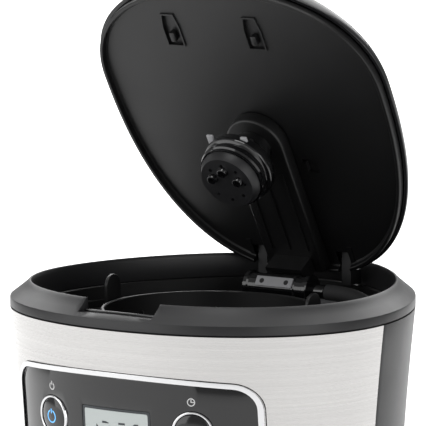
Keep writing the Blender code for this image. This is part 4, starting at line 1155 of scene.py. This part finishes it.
@dataclass
class Lid:
    """The open lid with its liner, water duct, spray head and barrel, modelled closed."""

    plan: BodyPlan
    opening: float = math.radians(58.4)
    hinge_offset: float = 106.4 * MM
    hinge_rise: float = 6.1 * MM
    half_width: float = 92.5 * MM
    centre: float = -15.8 * MM
    front: float = 66.3 * MM
    back: float = 135.4 * MM
    tail: float = 10 * MM
    wall: float = 2.0 * MM
    liner_face: float = -0.5 * MM
    underside: float = -4.3 * MM
    steps: int = 180
    duct_depth: float = 8.5 * MM
    spray_y: float = 22 * MM
    barrel_y: float = 1.5 * MM
    barrel_drop: float = 28.6 * MM

    def hinge(self) -> Matrix:
        """The move from the closed lid's hinge axis to its open place."""
        spot = Vector((0, self.plan.middle + self.hinge_offset, self.plan.rim_top + self.hinge_rise))
        return Matrix.Translation(spot) @ Matrix.Rotation(-self.opening, 4, "X")

    def oval(self, inset: float, side: float = 0.0, front: float = 0.0, back: float = 0.0,
             tail: float | None = None) -> Outline:
        """The lid's outline from the hinge's axis.

        Args:
            inset: How far it is moved in all round.
            side: More at the sides.
            front: More in front.
            back: More behind.
            tail: Where it is cut behind the hinge.

        Returns:
            The outline.
        """
        tail = self.tail if tail is None else tail
        points = superoval(self.half_width - inset - side, self.front - inset - front,
                           self.back - inset - back, (2.2, 2.35), self.centre - self.hinge_offset, self.steps)
        return [(x, min(y, tail - inset)) for x, y in points]

    def rise(self, height: float) -> float:
        """A height over the rim, from the hinge's axis."""
        return height - self.hinge_rise

    def open(self, piece: bpy.types.Object, look: Look, nodes: Sequence[str] = (),
             smooth: float = 32.0) -> bpy.types.Object:
        """Turn a closed piece open and finish it on the lid."""
        return finish(place(piece, self.hinge()), look, "lid", nodes, smooth)

    def build(self) -> None:
        """Build and dress the lid."""
        self.cover()
        self.liner()
        self.duct()
        self.spray()
        self.barrel()

    def cover(self) -> None:
        """The crowned outer skin."""
        rows = [(0.3, 0, 0, 10, 0.6), (0.0, 0, 0, 10, 1.2), (0.5, 0, 0, 10, 3.2), (2.0, 0.2, 0, 10, 5.6),
                (5.0, 0.8, 0, 9.5, 8.2), (12.0, 4.0, 1.0, 8, 11.9), (24.0, 12.0, 8.0, 6, 13.6),
                (40.0, 24.0, 20.0, 4, 14.4)]
        outer = [(self.oval(0, side * MM, front * MM, back * MM, tail * MM), self.rise(z * MM))
                 for side, front, back, tail, z in smooth_rows(rows)]
        inner_rows = [(0, 0, 0, 10, 0.6), (0.5, 0, 0, 10, 3.0), (5, 0.5, 0, 10, 7.0), (12, 4, 1, 8, 9.8),
                      (40, 24, 20, 4, 12.2)]
        inner = [(self.oval(self.wall, side * MM, front * MM, back * MM, tail * MM), self.rise(z * MM))
                 for side, front, back, tail, z in inner_rows]
        skin = loft("lid_skin", outer[::-1] + inner, closed=False)
        self.ear_slots(skin)
        self.open(skin, Look.LID_SKIN, ("lid_cover",), 40)

    def ear_slots(self, piece: bpy.types.Object) -> None:
        """Cut the two slots that clear the hinge's ears."""
        for sign in (-1, 1):
            near, far = sorted((sign * 24 * MM, sign * 32 * MM))
            cut(piece, far_box(-5 * MM, 30 * MM, -30 * MM, 3.8 * MM, near, far))

    def liner(self) -> None:
        """The underside: a flat panel with a lip, clip slots and a latch recess."""
        lip_out = self.wall + 0.3 * MM
        lip_in = lip_out + 2.2 * MM
        face = self.rise(self.liner_face)
        rows = [
            (lip_out + 1 * MM, self.rise(1.3 * MM)), (lip_out + 0.2 * MM, self.rise(0.2 * MM)),
            (lip_out, face), (lip_out, self.rise(self.underside) + 0.4 * MM),
            (lip_out + 0.4 * MM, self.rise(self.underside)), (lip_in - 0.4 * MM, self.rise(self.underside)),
            (lip_in, self.rise(self.underside) + 0.4 * MM), (lip_in + 0.3 * MM, face - 0.8 * MM),
            (lip_in + 1.2 * MM, face),
        ]
        panel = loft("liner_panel", [(self.oval(inset), z) for inset, z in rows], closed=False)
        frames = []
        for x in (-35 * MM, 18 * MM):
            y = -50 * MM - self.hinge_offset
            cut(panel, self.clip_shape(x, y, 0.0, face - 1 * MM, face + 1.4 * MM))
            frames.append(self.clip_frame(x, y, face))
        y = 40 * MM - self.hinge_offset
        cut(panel, block("latch_cutter", (22 * MM, y - 4.5 * MM, face - 1 * MM),
                         (31 * MM, y + 4.5 * MM, face + 1.4 * MM)))
        catch = block("liner_catch", (23 * MM, y - 3.2 * MM, face - 1.6 * MM),
                      (25 * MM, y + 3.2 * MM, face + 1 * MM))
        self.ear_slots(panel)
        frames.append(catch)
        for sign in (-1, 1):
            near, far = sorted((sign * 21 * MM, sign * 24 * MM))
            frames.append(block("yoke", (near, -9 * MM, face - 0.4 * MM), (far, 2.2 * MM, 2.2 * MM)))
            near, far = sorted((sign * 32 * MM, sign * 35 * MM))
            frames.append(block("yoke", (near, -9 * MM, face - 0.4 * MM), (far, 2.2 * MM, 2.2 * MM)))
        merge(panel, frames)
        self.open(panel, Look.LINER_BLACK, ("lid_liner",))

    def clip_shape(self, x: float, y: float, grow: float, low: float, high: float) -> bpy.types.Object:
        """The tapered outline of a clip slot, raised between two heights."""
        wide, narrow, half = 5 * MM + grow, 3.4 * MM + grow, 10 * MM + grow
        outline = [(x - narrow, y - half), (x + narrow, y - half), (x + wide, y - half * 0.2),
                   (x + wide, y + half),
                   (x - wide, y + half), (x - wide, y - half * 0.2)]
        return slab("clip_cutter", outline, low, high)

    def clip_frame(self, x: float, y: float, face: float) -> bpy.types.Object:
        """The thin raised edge around a clip slot, with the hook in its middle."""
        edge = self.clip_shape(x, y, 0.8 * MM, face - 0.9 * MM, face + 0.5 * MM)
        cut(edge, self.clip_shape(x, y, -0.1 * MM, -1, 1))
        hook = block("hook", (x - 1.6 * MM, y + 1 * MM, face - 2.2 * MM),
                     (x + 1.6 * MM, y + 7 * MM, face + 1.2 * MM))
        ease(hook, 0.5 * MM)
        return merge(edge, [hook])

    def duct(self) -> None:
        """The water duct: a rounded tray with a raised edge, and the neck of its barrel."""
        top = self.rise(self.liner_face) - 0.3 * MM
        low, half = top - self.duct_depth, 18 * MM
        spray_y, back = self.spray_y - self.hinge_offset, 4.5 * MM
        arc = [math.pi * (1 + step / 24) for step in range(25)]
        plan = [(half * math.cos(a), spray_y + half * math.sin(a)) for a in arc]
        plan += [(half, back), (-half, back)]
        tray = slab("duct_tray", plan, low, top)
        ease(tray, 1.4 * MM, 3, 60)
        barrel_z = self.rise(-self.barrel_drop)
        neck = block("neck", (-12 * MM, -6.5 * MM, barrel_z + 7.4 * MM), (12 * MM, 3.5 * MM, low + 1 * MM))
        cut(tray, neck, "UNION")
        ends = [Vector((side * 42 * MM, self.barrel_y, barrel_z)) for side in (-1, 1)]
        cut(tray, rod("seat", *ends, 9.3 * MM))
        ribs = [block("rib", (x - 0.7 * MM, spray_y + 18 * MM, low - 0.9 * MM),
                      (x + 0.7 * MM, back - 16 * MM, low + 1 * MM))
                for x in (-12 * MM, 0.0, 12 * MM)]
        merge(tray, ribs)
        self.open(tray, Look.LINER_BLACK, ("water_duct",))

    def spray(self) -> None:
        """The spray head: stacked tiers, two clips, a pierced plate and three nozzles."""
        top = self.rise(self.liner_face) - 8.8 * MM - 0.3 * MM
        where = Matrix.Translation((0, self.spray_y - self.hinge_offset, top))
        tiers = [
            (0.3, 0), (11, 0), (11, -4), (12.5, -4.5), (12.5, -7), (11.2, -7.5), (11.2, -12.2), (12, -13),
            (19.6, -14.6), (20.6, -15.2), (21, -16), (21, -20), (20.6, -20.8), (19.4, -21.4), (19, -22),
            (19, -23.4), (19.8, -24), (19.8, -26), (19, -26.8), (19, -28), (0.3, -28),
        ]
        head = turned("spray_tiers", [(r * MM, z * MM) for r, z in tiers], 96, closed=False)
        self.open(place(head, where), Look.GLOSS_BLACK, ("spray_head",))
        plate = turned("spray_rose", [(r * MM, z * MM) for r, z in
                       ((0.3, -28.3), (18, -28.3), (18, -29.5), (16, -33.3), (0.3, -33.3))], 96, closed=False)
        for step in range(8):
            turn = 2 * math.pi * step / 8
            x, y = 11.5 * MM * math.cos(turn), 11.5 * MM * math.sin(turn)
            cut(plate, slab("hole", circle(1.1 * MM, 20, x, y), -1, -31 * MM))
        self.open(place(plate, where), Look.SATIN_BLACK, ("spray_plate",))
        for index, (x, y) in enumerate(((-8, -3), (0, -8), (8, -2))):
            nozzle = turned(f"nozzle_{index}", [(r * MM, z * MM) for r, z in
                            ((1.4, -33.2), (3.2, -33.2), (3.0, -34.4), (2.6, -35.6), (2.2, -35.8),
                             (1.4, -35.8))], 40)
            place(nozzle, where @ Matrix.Translation((x * MM, y * MM, 0)))
            self.open(nozzle, Look.GLOSS_BLACK)
        for index, x in enumerate((-13, 9)):
            tab = block(f"spray_clip_{index}", (x * MM - 2 * MM, -20.8 * MM, -18.6 * MM),
                        (x * MM + 2 * MM, -15 * MM, -17 * MM))
            ease(tab, 0.5 * MM)
            self.open(place(tab, where), Look.GREY)

    def barrel(self) -> None:
        """The swivel barrel across the hinge, its plate, whose light grey is a painted highlight, and two
        rivets.
        """
        y, z = self.barrel_y, self.rise(-self.barrel_drop)
        half, radius = 21 * MM, 9 * MM
        profile = [(0.3 * MM, half + 9 * MM), (3.4 * MM, half + 9 * MM), (4 * MM, half + 8.4 * MM),
                   (4 * MM, half),
                   (radius - 0.5 * MM, half), (radius, half - 0.5 * MM), (radius, half - 2.6 * MM),
                   (radius - 1 * MM, half - 3.4 * MM), (radius - 1 * MM, half - 8 * MM),
                   (radius - 0.4 * MM, half - 8.6 * MM), (radius - 0.4 * MM, half - 10 * MM),
                   (radius - 1 * MM, half - 10.6 * MM), (radius - 1 * MM, -half + 3.4 * MM),
                   (radius, -half + 2.6 * MM), (radius, -half + 0.5 * MM), (radius - 0.5 * MM, -half),
                   (0.3 * MM, -half)]
        barrel = turned("barrel_tube", profile, 72, closed=False)
        place(barrel, Matrix.Translation((0, y, z)) @ Matrix.Rotation(math.pi / 2, 4, "Y"))
        self.open(barrel, Look.GLOSS_BLACK, ("swivel_barrel",))
        tilt = math.radians(28)
        out = Vector((0, -math.cos(tilt), -math.sin(tilt)))
        across = Vector((1, 0, 0))
        turn = Matrix((across, out.cross(across), out)).transposed().to_4x4()
        where = Matrix.Translation(Vector((0, y, z)) + out * (radius - 0.7 * MM)) @ turn
        # The plate's light grey colour is a painted highlight: it stands in for a reflection on the glossy
        # barrel.
        plate = block("barrel_highlight_plate", (-12 * MM, -3 * MM, 0), (12 * MM, 3 * MM, 1 * MM))
        ease(plate, 0.4 * MM)
        self.open(place(plate, where), Look.GREY, ("barrel_plate",))
        rivets = [place(turned("rivet", [(0.2 * MM, 1.2 * MM), (1.3 * MM, 1.2 * MM), (1.6 * MM, 0.9 * MM),
                                         (1.6 * MM, 0.5 * MM), (0.2 * MM, 0.5 * MM)], 24, closed=False),
                        where @ Matrix.Translation((x * MM, 0, 0))) for x in (-8, 8)]
        rivet = merge(rivets[0], rivets[1:])
        rivet.name = rivet.data.name = "barrel_rivets"
        self.open(rivet, Look.LINER_BLACK)


@dataclass
class Basket:
    """The lift-out basket with its ribs and tabs."""

    plan: BodyPlan
    rim_r: float = 60.5 * MM
    tab_half: float = 7 * MM

    def build(self) -> None:
        """Build and dress the basket."""
        low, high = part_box("brew_basket")
        deck = self.plan.deck_top + 0.3 * MM
        rim, floor, neck = self.plan.rim_top - 14.6 * MM, self.plan.head_bottom + 32 * MM, low.z
        r = self.rim_r
        profile = [
            (r - 0.5 * MM, rim), (r, rim - 0.5 * MM), (r, deck + 2 * MM), (r + 0.4 * MM, deck + 1.6 * MM),
            (high.x - 0.4 * MM, deck + 1.6 * MM), (high.x, deck + 1.2 * MM), (high.x, deck),
            (r + 1.6 * MM, deck), (r - 5 * MM, floor + 12 * MM), (r - 7 * MM, floor + 5 * MM),
            (r - 13 * MM, floor),
            (13 * MM, floor - 4 * MM), (13 * MM, neck), (6.3 * MM, neck), (6.3 * MM, neck + 2 * MM),
            (10 * MM, neck + 2 * MM), (10 * MM, floor - 2 * MM), (r - 14 * MM, floor + 2 * MM),
            (r - 9 * MM, floor + 6.5 * MM), (r - 7 * MM, floor + 13 * MM), (r - 2 * MM, deck + 1.6 * MM),
            (r - 2 * MM, rim - 0.5 * MM), (r - 1.5 * MM, rim),
        ]
        bowl = turned("basket_bowl", profile, 144)
        place(bowl, Matrix.Translation((0, self.plan.brew_y, 0)))
        cut(bowl, far_box(self.plan.brew_y + r + 2.5 * MM, 1))
        details = self.ribs(deck, floor) + self.tabs(deck)
        merge(bowl, details)
        finish(bowl, Look.LINER_BLACK, "basket", ("brew_basket",))

    def ribs(self, deck: float, floor: float) -> list[bpy.types.Object]:
        """Upright ribs on the inner wall, which hold the paper off it."""
        made = []
        for step in range(24):
            turn = Matrix.Rotation(2 * math.pi * step / 24, 4, "Z")
            rib = block("rib", (self.rim_r - 4.6 * MM, -0.6 * MM, floor + 40 * MM),
                        (self.rim_r - 1.9 * MM, 0.6 * MM, deck + 2 * MM))
            ease(rib, 0.4 * MM, 2)
            made.append(place(rib, Matrix.Translation((0, self.plan.brew_y, 0)) @ turn))
        return made

    def tabs(self, deck: float) -> list[bpy.types.Object]:
        """The two round-topped lifting tabs."""
        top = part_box("brew_basket")[1].z
        half, made = self.tab_half, []
        arc = [math.pi * step / 16 for step in range(17)]
        outline = [(half, deck + 0.8 * MM)]
        outline += [(half * math.cos(a), top - half + half * math.sin(a)) for a in arc]
        outline += [(-half, deck + 0.8 * MM)]
        for sign in (-1, 1):
            tab = slab("tab", outline, 0.0, 2 * MM)
            ease(tab, 0.5 * MM, 3)
            stand = Matrix.Rotation(math.pi / 2, 4, "Z") @ Matrix.Rotation(math.pi / 2, 4, "X")
            x = sign * (self.rim_r + 4 * MM) if sign > 0 else -(self.rim_r + 6 * MM)
            made.append(place(tab, Matrix.Translation((x, self.plan.brew_y, 0)) @ stand))
        return made


@dataclass
class Carafe:
    """The glass carafe with its band, handle and lid."""

    plan: BodyPlan
    belly: float = 63 * MM
    neck: float = 49.5 * MM
    glass: float = 2.2 * MM
    band_height: float = 12 * MM

    def here(self, piece: bpy.types.Object) -> bpy.types.Object:
        """Stand a piece on the brewing axis."""
        return place(piece, Matrix.Translation((0, self.plan.brew_y, 0)))

    def build(self) -> None:
        """Build and dress the carafe."""
        self.jug()
        self.band()
        self.handle()
        self.lid()

    def jug(self) -> None:
        """The blown glass with an even wall."""
        low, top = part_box("carafe_glass")[0].z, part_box("carafe_glass")[1].z
        neck, belly = self.neck, self.belly
        rows = smooth_rows([
            (neck, top - 3 * MM), (neck, top - 15 * MM), (neck + 5 * MM, top - 27 * MM),
            (belly - 4 * MM, top - 52 * MM), (belly, top - 80 * MM), (belly - 0.5 * MM, low + 18 * MM),
            (belly - 5 * MM, low + 4 * MM), (belly - 11 * MM, low),
        ], 5)
        rows = [(min(radius, belly), max(z, low)) for radius, z in rows]
        outer = [(neck + 1.2 * MM, top - 0.2 * MM), (neck + 1.4 * MM, top - 1 * MM)] + rows + [(1 * MM, low)]
        thick = self.glass
        inner = [(1 * MM, low + thick)]
        inner += [(radius - thick, z + (thick if z < low + 10 * MM else 0)) for radius, z in reversed(rows)]
        inner += [(neck - 0.9 * MM, top)]
        jug = self.here(turned("glass_jug", outer + inner, 128))
        finish(jug, Look.GLASS, "carafe", ("carafe_glass",), 60)
        marks = []
        for step in range(6):
            z = low + (22 + 13 * step) * MM
            marks.append(block("mark", (-7 * MM if step % 2 else -4.5 * MM, -1, z), (0, 0, z + 0.8 * MM)))
        ticks = merge(marks[0], marks[1:])
        skin = turned("jug_marks", [(radius + 0.03 * MM, z) for radius, z in rows]
                      + [(radius - 0.1 * MM, z) for radius, z in reversed(rows)], 128)
        place(ticks, Matrix.Rotation(math.radians(-42), 4, "Z"))
        cut(skin, ticks, "INTERSECT")
        finish(self.here(skin), Look.PRINT, "carafe")

    def band(self) -> None:
        """The steel band with rolled edges."""
        low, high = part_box("carafe_band")
        inner, outer = self.neck + 0.3 * MM, high.x
        band = turned("neck_band", [
            (outer - 0.3 * MM, high.z), (outer, high.z - 0.4 * MM), (outer - 0.2 * MM, high.z - 1.2 * MM),
            (outer - 0.2 * MM, low.z + 1.2 * MM), (outer, low.z + 0.4 * MM), (outer - 0.3 * MM, low.z),
            (inner, low.z), (inner, high.z),
        ], 128)
        finish(self.here(band), Look.STEEL, "carafe", ("carafe_band",))

    def handle(self) -> None:
        """The moulded handle with a soft edge and a shallow grip line."""
        low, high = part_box("carafe_handle")
        brew = self.plan.brew_y
        root, reach, thick = high.y - brew, low.y - brew, 13 * MM
        arm_top, tip = high.z, low.z
        arm_low = arm_top - 14 * MM
        quarter = [math.pi / 2 * step / 12 for step in range(13)]
        big, small = 14 * MM, 6 * MM
        outline = [(root, arm_top)]
        outline += [(reach + big - big * math.sin(a), arm_top - big + big * math.cos(a)) for a in quarter]
        outline += [(reach, tip + small), (reach + small * 0.2, tip + small * 0.4), (reach + small / 2, tip),
                    (reach + thick - 2 * MM, tip), (reach + thick, tip + 3 * MM)]
        outline += [(reach + thick + small - small * math.cos(a), arm_low - small + small * math.sin(a))
                    for a in quarter]
        outline += [(root, arm_low)]
        grip = slab("grip", outline, -11 * MM, 11 * MM)
        stand = Matrix.Rotation(math.pi / 2, 4, "Z") @ Matrix.Rotation(math.pi / 2, 4, "X")
        place(grip, Matrix.Translation((0, brew, 0)) @ stand)
        ease(grip, 3 * MM, 5, 50)
        insert = block("grip_insert", (-5 * MM, low.y, tip + 14 * MM),
                       (5 * MM, low.y + 1 * MM, arm_top - 24 * MM))
        ease(insert, 0.4 * MM)
        finish(insert, Look.RUBBER, "carafe")
        finish(grip, Look.SATIN_BLACK, "carafe", ("carafe_handle",))

    def lid(self) -> None:
        """The twist-off lid with its funnel."""
        low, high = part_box("carafe_lid")
        seat, hub = low.z + 14 * MM, high.z
        neck = self.neck
        throat = neck - self.glass - 0.6 * MM
        profile = [
            (13.2 * MM, hub), (14 * MM, hub - 0.6 * MM), (19 * MM, hub - 10 * MM), (24 * MM, hub - 13.5 * MM),
            (neck - 3 * MM, seat + 13.2 * MM), (neck - 0.5 * MM, seat + 11.6 * MM),
            (neck + 1.6 * MM, seat + 8.4 * MM),
            (neck + 2 * MM, seat + 7.6 * MM), (neck + 2 * MM, seat), (throat, seat), (throat, low.z),
            (throat - 2 * MM, low.z), (throat - 2 * MM, seat + 7 * MM), (6 * MM, seat + 9 * MM),
            (6 * MM, hub - 1 * MM),
            (7 * MM, hub),
        ]
        cap = self.here(turned("jug_lid", profile, 128))
        finish(cap, Look.SATIN_BLACK, "carafe_cap", ("carafe_lid",))


@dataclass
class Studio:
    """The pale floor, the soft lights and the camera."""

    plan: BodyPlan
    azimuth: float = math.radians(32.885)
    elevation: float = math.radians(8.512)
    distance: float = 1.8376
    lens: float = 283.23

    def build(self) -> None:
        """Set up the floor, lights, world and camera."""
        self.floor()
        self.world()
        self.lights()
        self.camera()

    def floor(self) -> None:
        """A large pale floor that isn't part of the machine."""
        lay_aside()
        bpy.ops.mesh.primitive_plane_add(size=60)
        floor = bpy.context.object
        floor.name = "studio_floor"
        made = bpy.data.materials.new("pale_floor")
        made.use_nodes = True
        shader = made.node_tree.nodes["Principled BSDF"]
        shader.inputs["Base Color"].default_value = (0.98, 0.98, 0.98, 1.0)
        shader.inputs["Roughness"].default_value = 0.8
        floor.data.materials.append(made)

    def world(self) -> None:
        """An even white surround."""
        world = bpy.data.worlds.new("studio_surround")
        bpy.context.scene.world = world
        world.use_nodes = True
        back = world.node_tree.nodes["Background"]
        back.inputs["Color"].default_value = (1.0, 1.0, 1.0, 1.0)
        back.inputs["Strength"].default_value = 0.32
        bpy.context.scene.view_settings.view_transform = "Standard"

    def lights(self) -> None:
        """Two tall soft panels in front, one over the machine, and a wide one over the far floor."""
        aim = Vector((0, self.plan.middle, 0.33))
        for name, angle, height, reach, size, power in (
            ("key", -32, 0.5, 2.6, (3.0, 1.6), 24.0),
            ("fill", 71, 0.5, 2.6, (2.2, 1.6), 17.0),
            ("top", 10, 2.4, 0.7, (1.2, 1.2), 14.0),
            ("far", 213, 2.6, 5.0, (7.0, 7.0), 520.0),
        ):
            data = bpy.data.lights.new(name, "AREA")
            data.shape = "RECTANGLE"
            data.size, data.size_y = size
            data.energy = power
            lamp = bpy.data.objects.new(name, data)
            bpy.context.scene.collection.objects.link(lamp)
            turn = math.radians(angle)
            lamp.location = aim + Vector((reach * math.sin(turn), -reach * math.cos(turn), height))
            target = lamp.location - Vector((0, 0, 1)) if name == "far" else aim
            lamp.rotation_euler = (target - lamp.location).to_track_quat("-Z", "Y").to_euler()

    def camera(self) -> None:
        """A long lens that looks slightly down at the open lid."""
        az, el = self.azimuth, self.elevation
        back = Vector((math.sin(az) * math.cos(el), -math.cos(az) * math.cos(el), math.sin(el)))
        right = Vector((math.cos(az), math.sin(az), 0))
        up = back.cross(right)
        data = bpy.data.cameras.new("studio_camera")
        data.lens = self.lens
        data.sensor_width = 36.0
        data.clip_end = 100.0
        camera = bpy.data.objects.new("studio_camera", data)
        bpy.context.scene.collection.objects.link(camera)
        camera.location = Vector((0, self.plan.middle, self.plan.rim_top)) + back * self.distance
        look = -back + right * 0.00183 + up * 0.0205
        camera.rotation_euler = look.to_track_quat("-Z", "Y").to_euler()
        bpy.context.scene.camera = camera


def supply_hose(plan: BodyPlan) -> None:
    """The soft hose from the riser to the barrel's spigot."""
    low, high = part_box("supply_hose")
    start_y, start_z = 58.7 * MM, 336.6 * MM
    rise_x, rise_y = 61 * MM, plan.back - 53 * MM
    data = bpy.data.curves.new("feed_hose", "CURVE")
    data.dimensions = "3D"
    data.bevel_depth = 4.5 * MM
    data.bevel_resolution = 6
    data.use_fill_caps = True
    spline = data.splines.new("NURBS")
    route = [(low.x, start_y, start_z), (38 * MM, start_y, start_z), (50 * MM, start_y, start_z - 1 * MM),
             (rise_x, (start_y + rise_y) / 2, start_z - 8 * MM), (rise_x, rise_y, 314 * MM),
             (rise_x, rise_y, low.z)]
    spline.points.add(len(route) - 1)
    for spot, where in zip(spline.points, route):
        spot.co = (*where, 1.0)
    spline.order_u = 4
    spline.use_endpoint_u = True
    spline.resolution_u = 12
    curve = bpy.data.objects.new("feed_hose", data)
    bpy.context.scene.collection.objects.link(curve)
    take(curve)
    bpy.ops.object.convert(target="MESH")
    finish(bpy.context.object, Look.RUBBER, "housing", ("supply_hose",), 60)


def dress_frame() -> None:
    """Give every node that stays its finish, by the record's material slot."""
    slots = {part["node"]: part["material_slot"] for part in frame["record"]["subparts"]}
    for name, node in frame["nodes"].items():
        material = CAD_LOOKS[slots[name]].value.material()
        for place_holder in node.material_slots:
            place_holder.material = material
        if not node.material_slots:
            node.data.materials.append(material)


def main() -> None:
    """Build the machine and its studio."""
    logging.basicConfig(level=logging.INFO, format="%(name)s: %(message)s")
    dress_frame()
    plan = BodyPlan()
    for part in (Shell(plan), Panel(plan), Lid(plan), Basket(plan), Carafe(plan), Studio(plan)):
        part.build()
        log.info("%s done", type(part).__name__)
    supply_hose(plan)


if __name__ == "__main__":
    main()
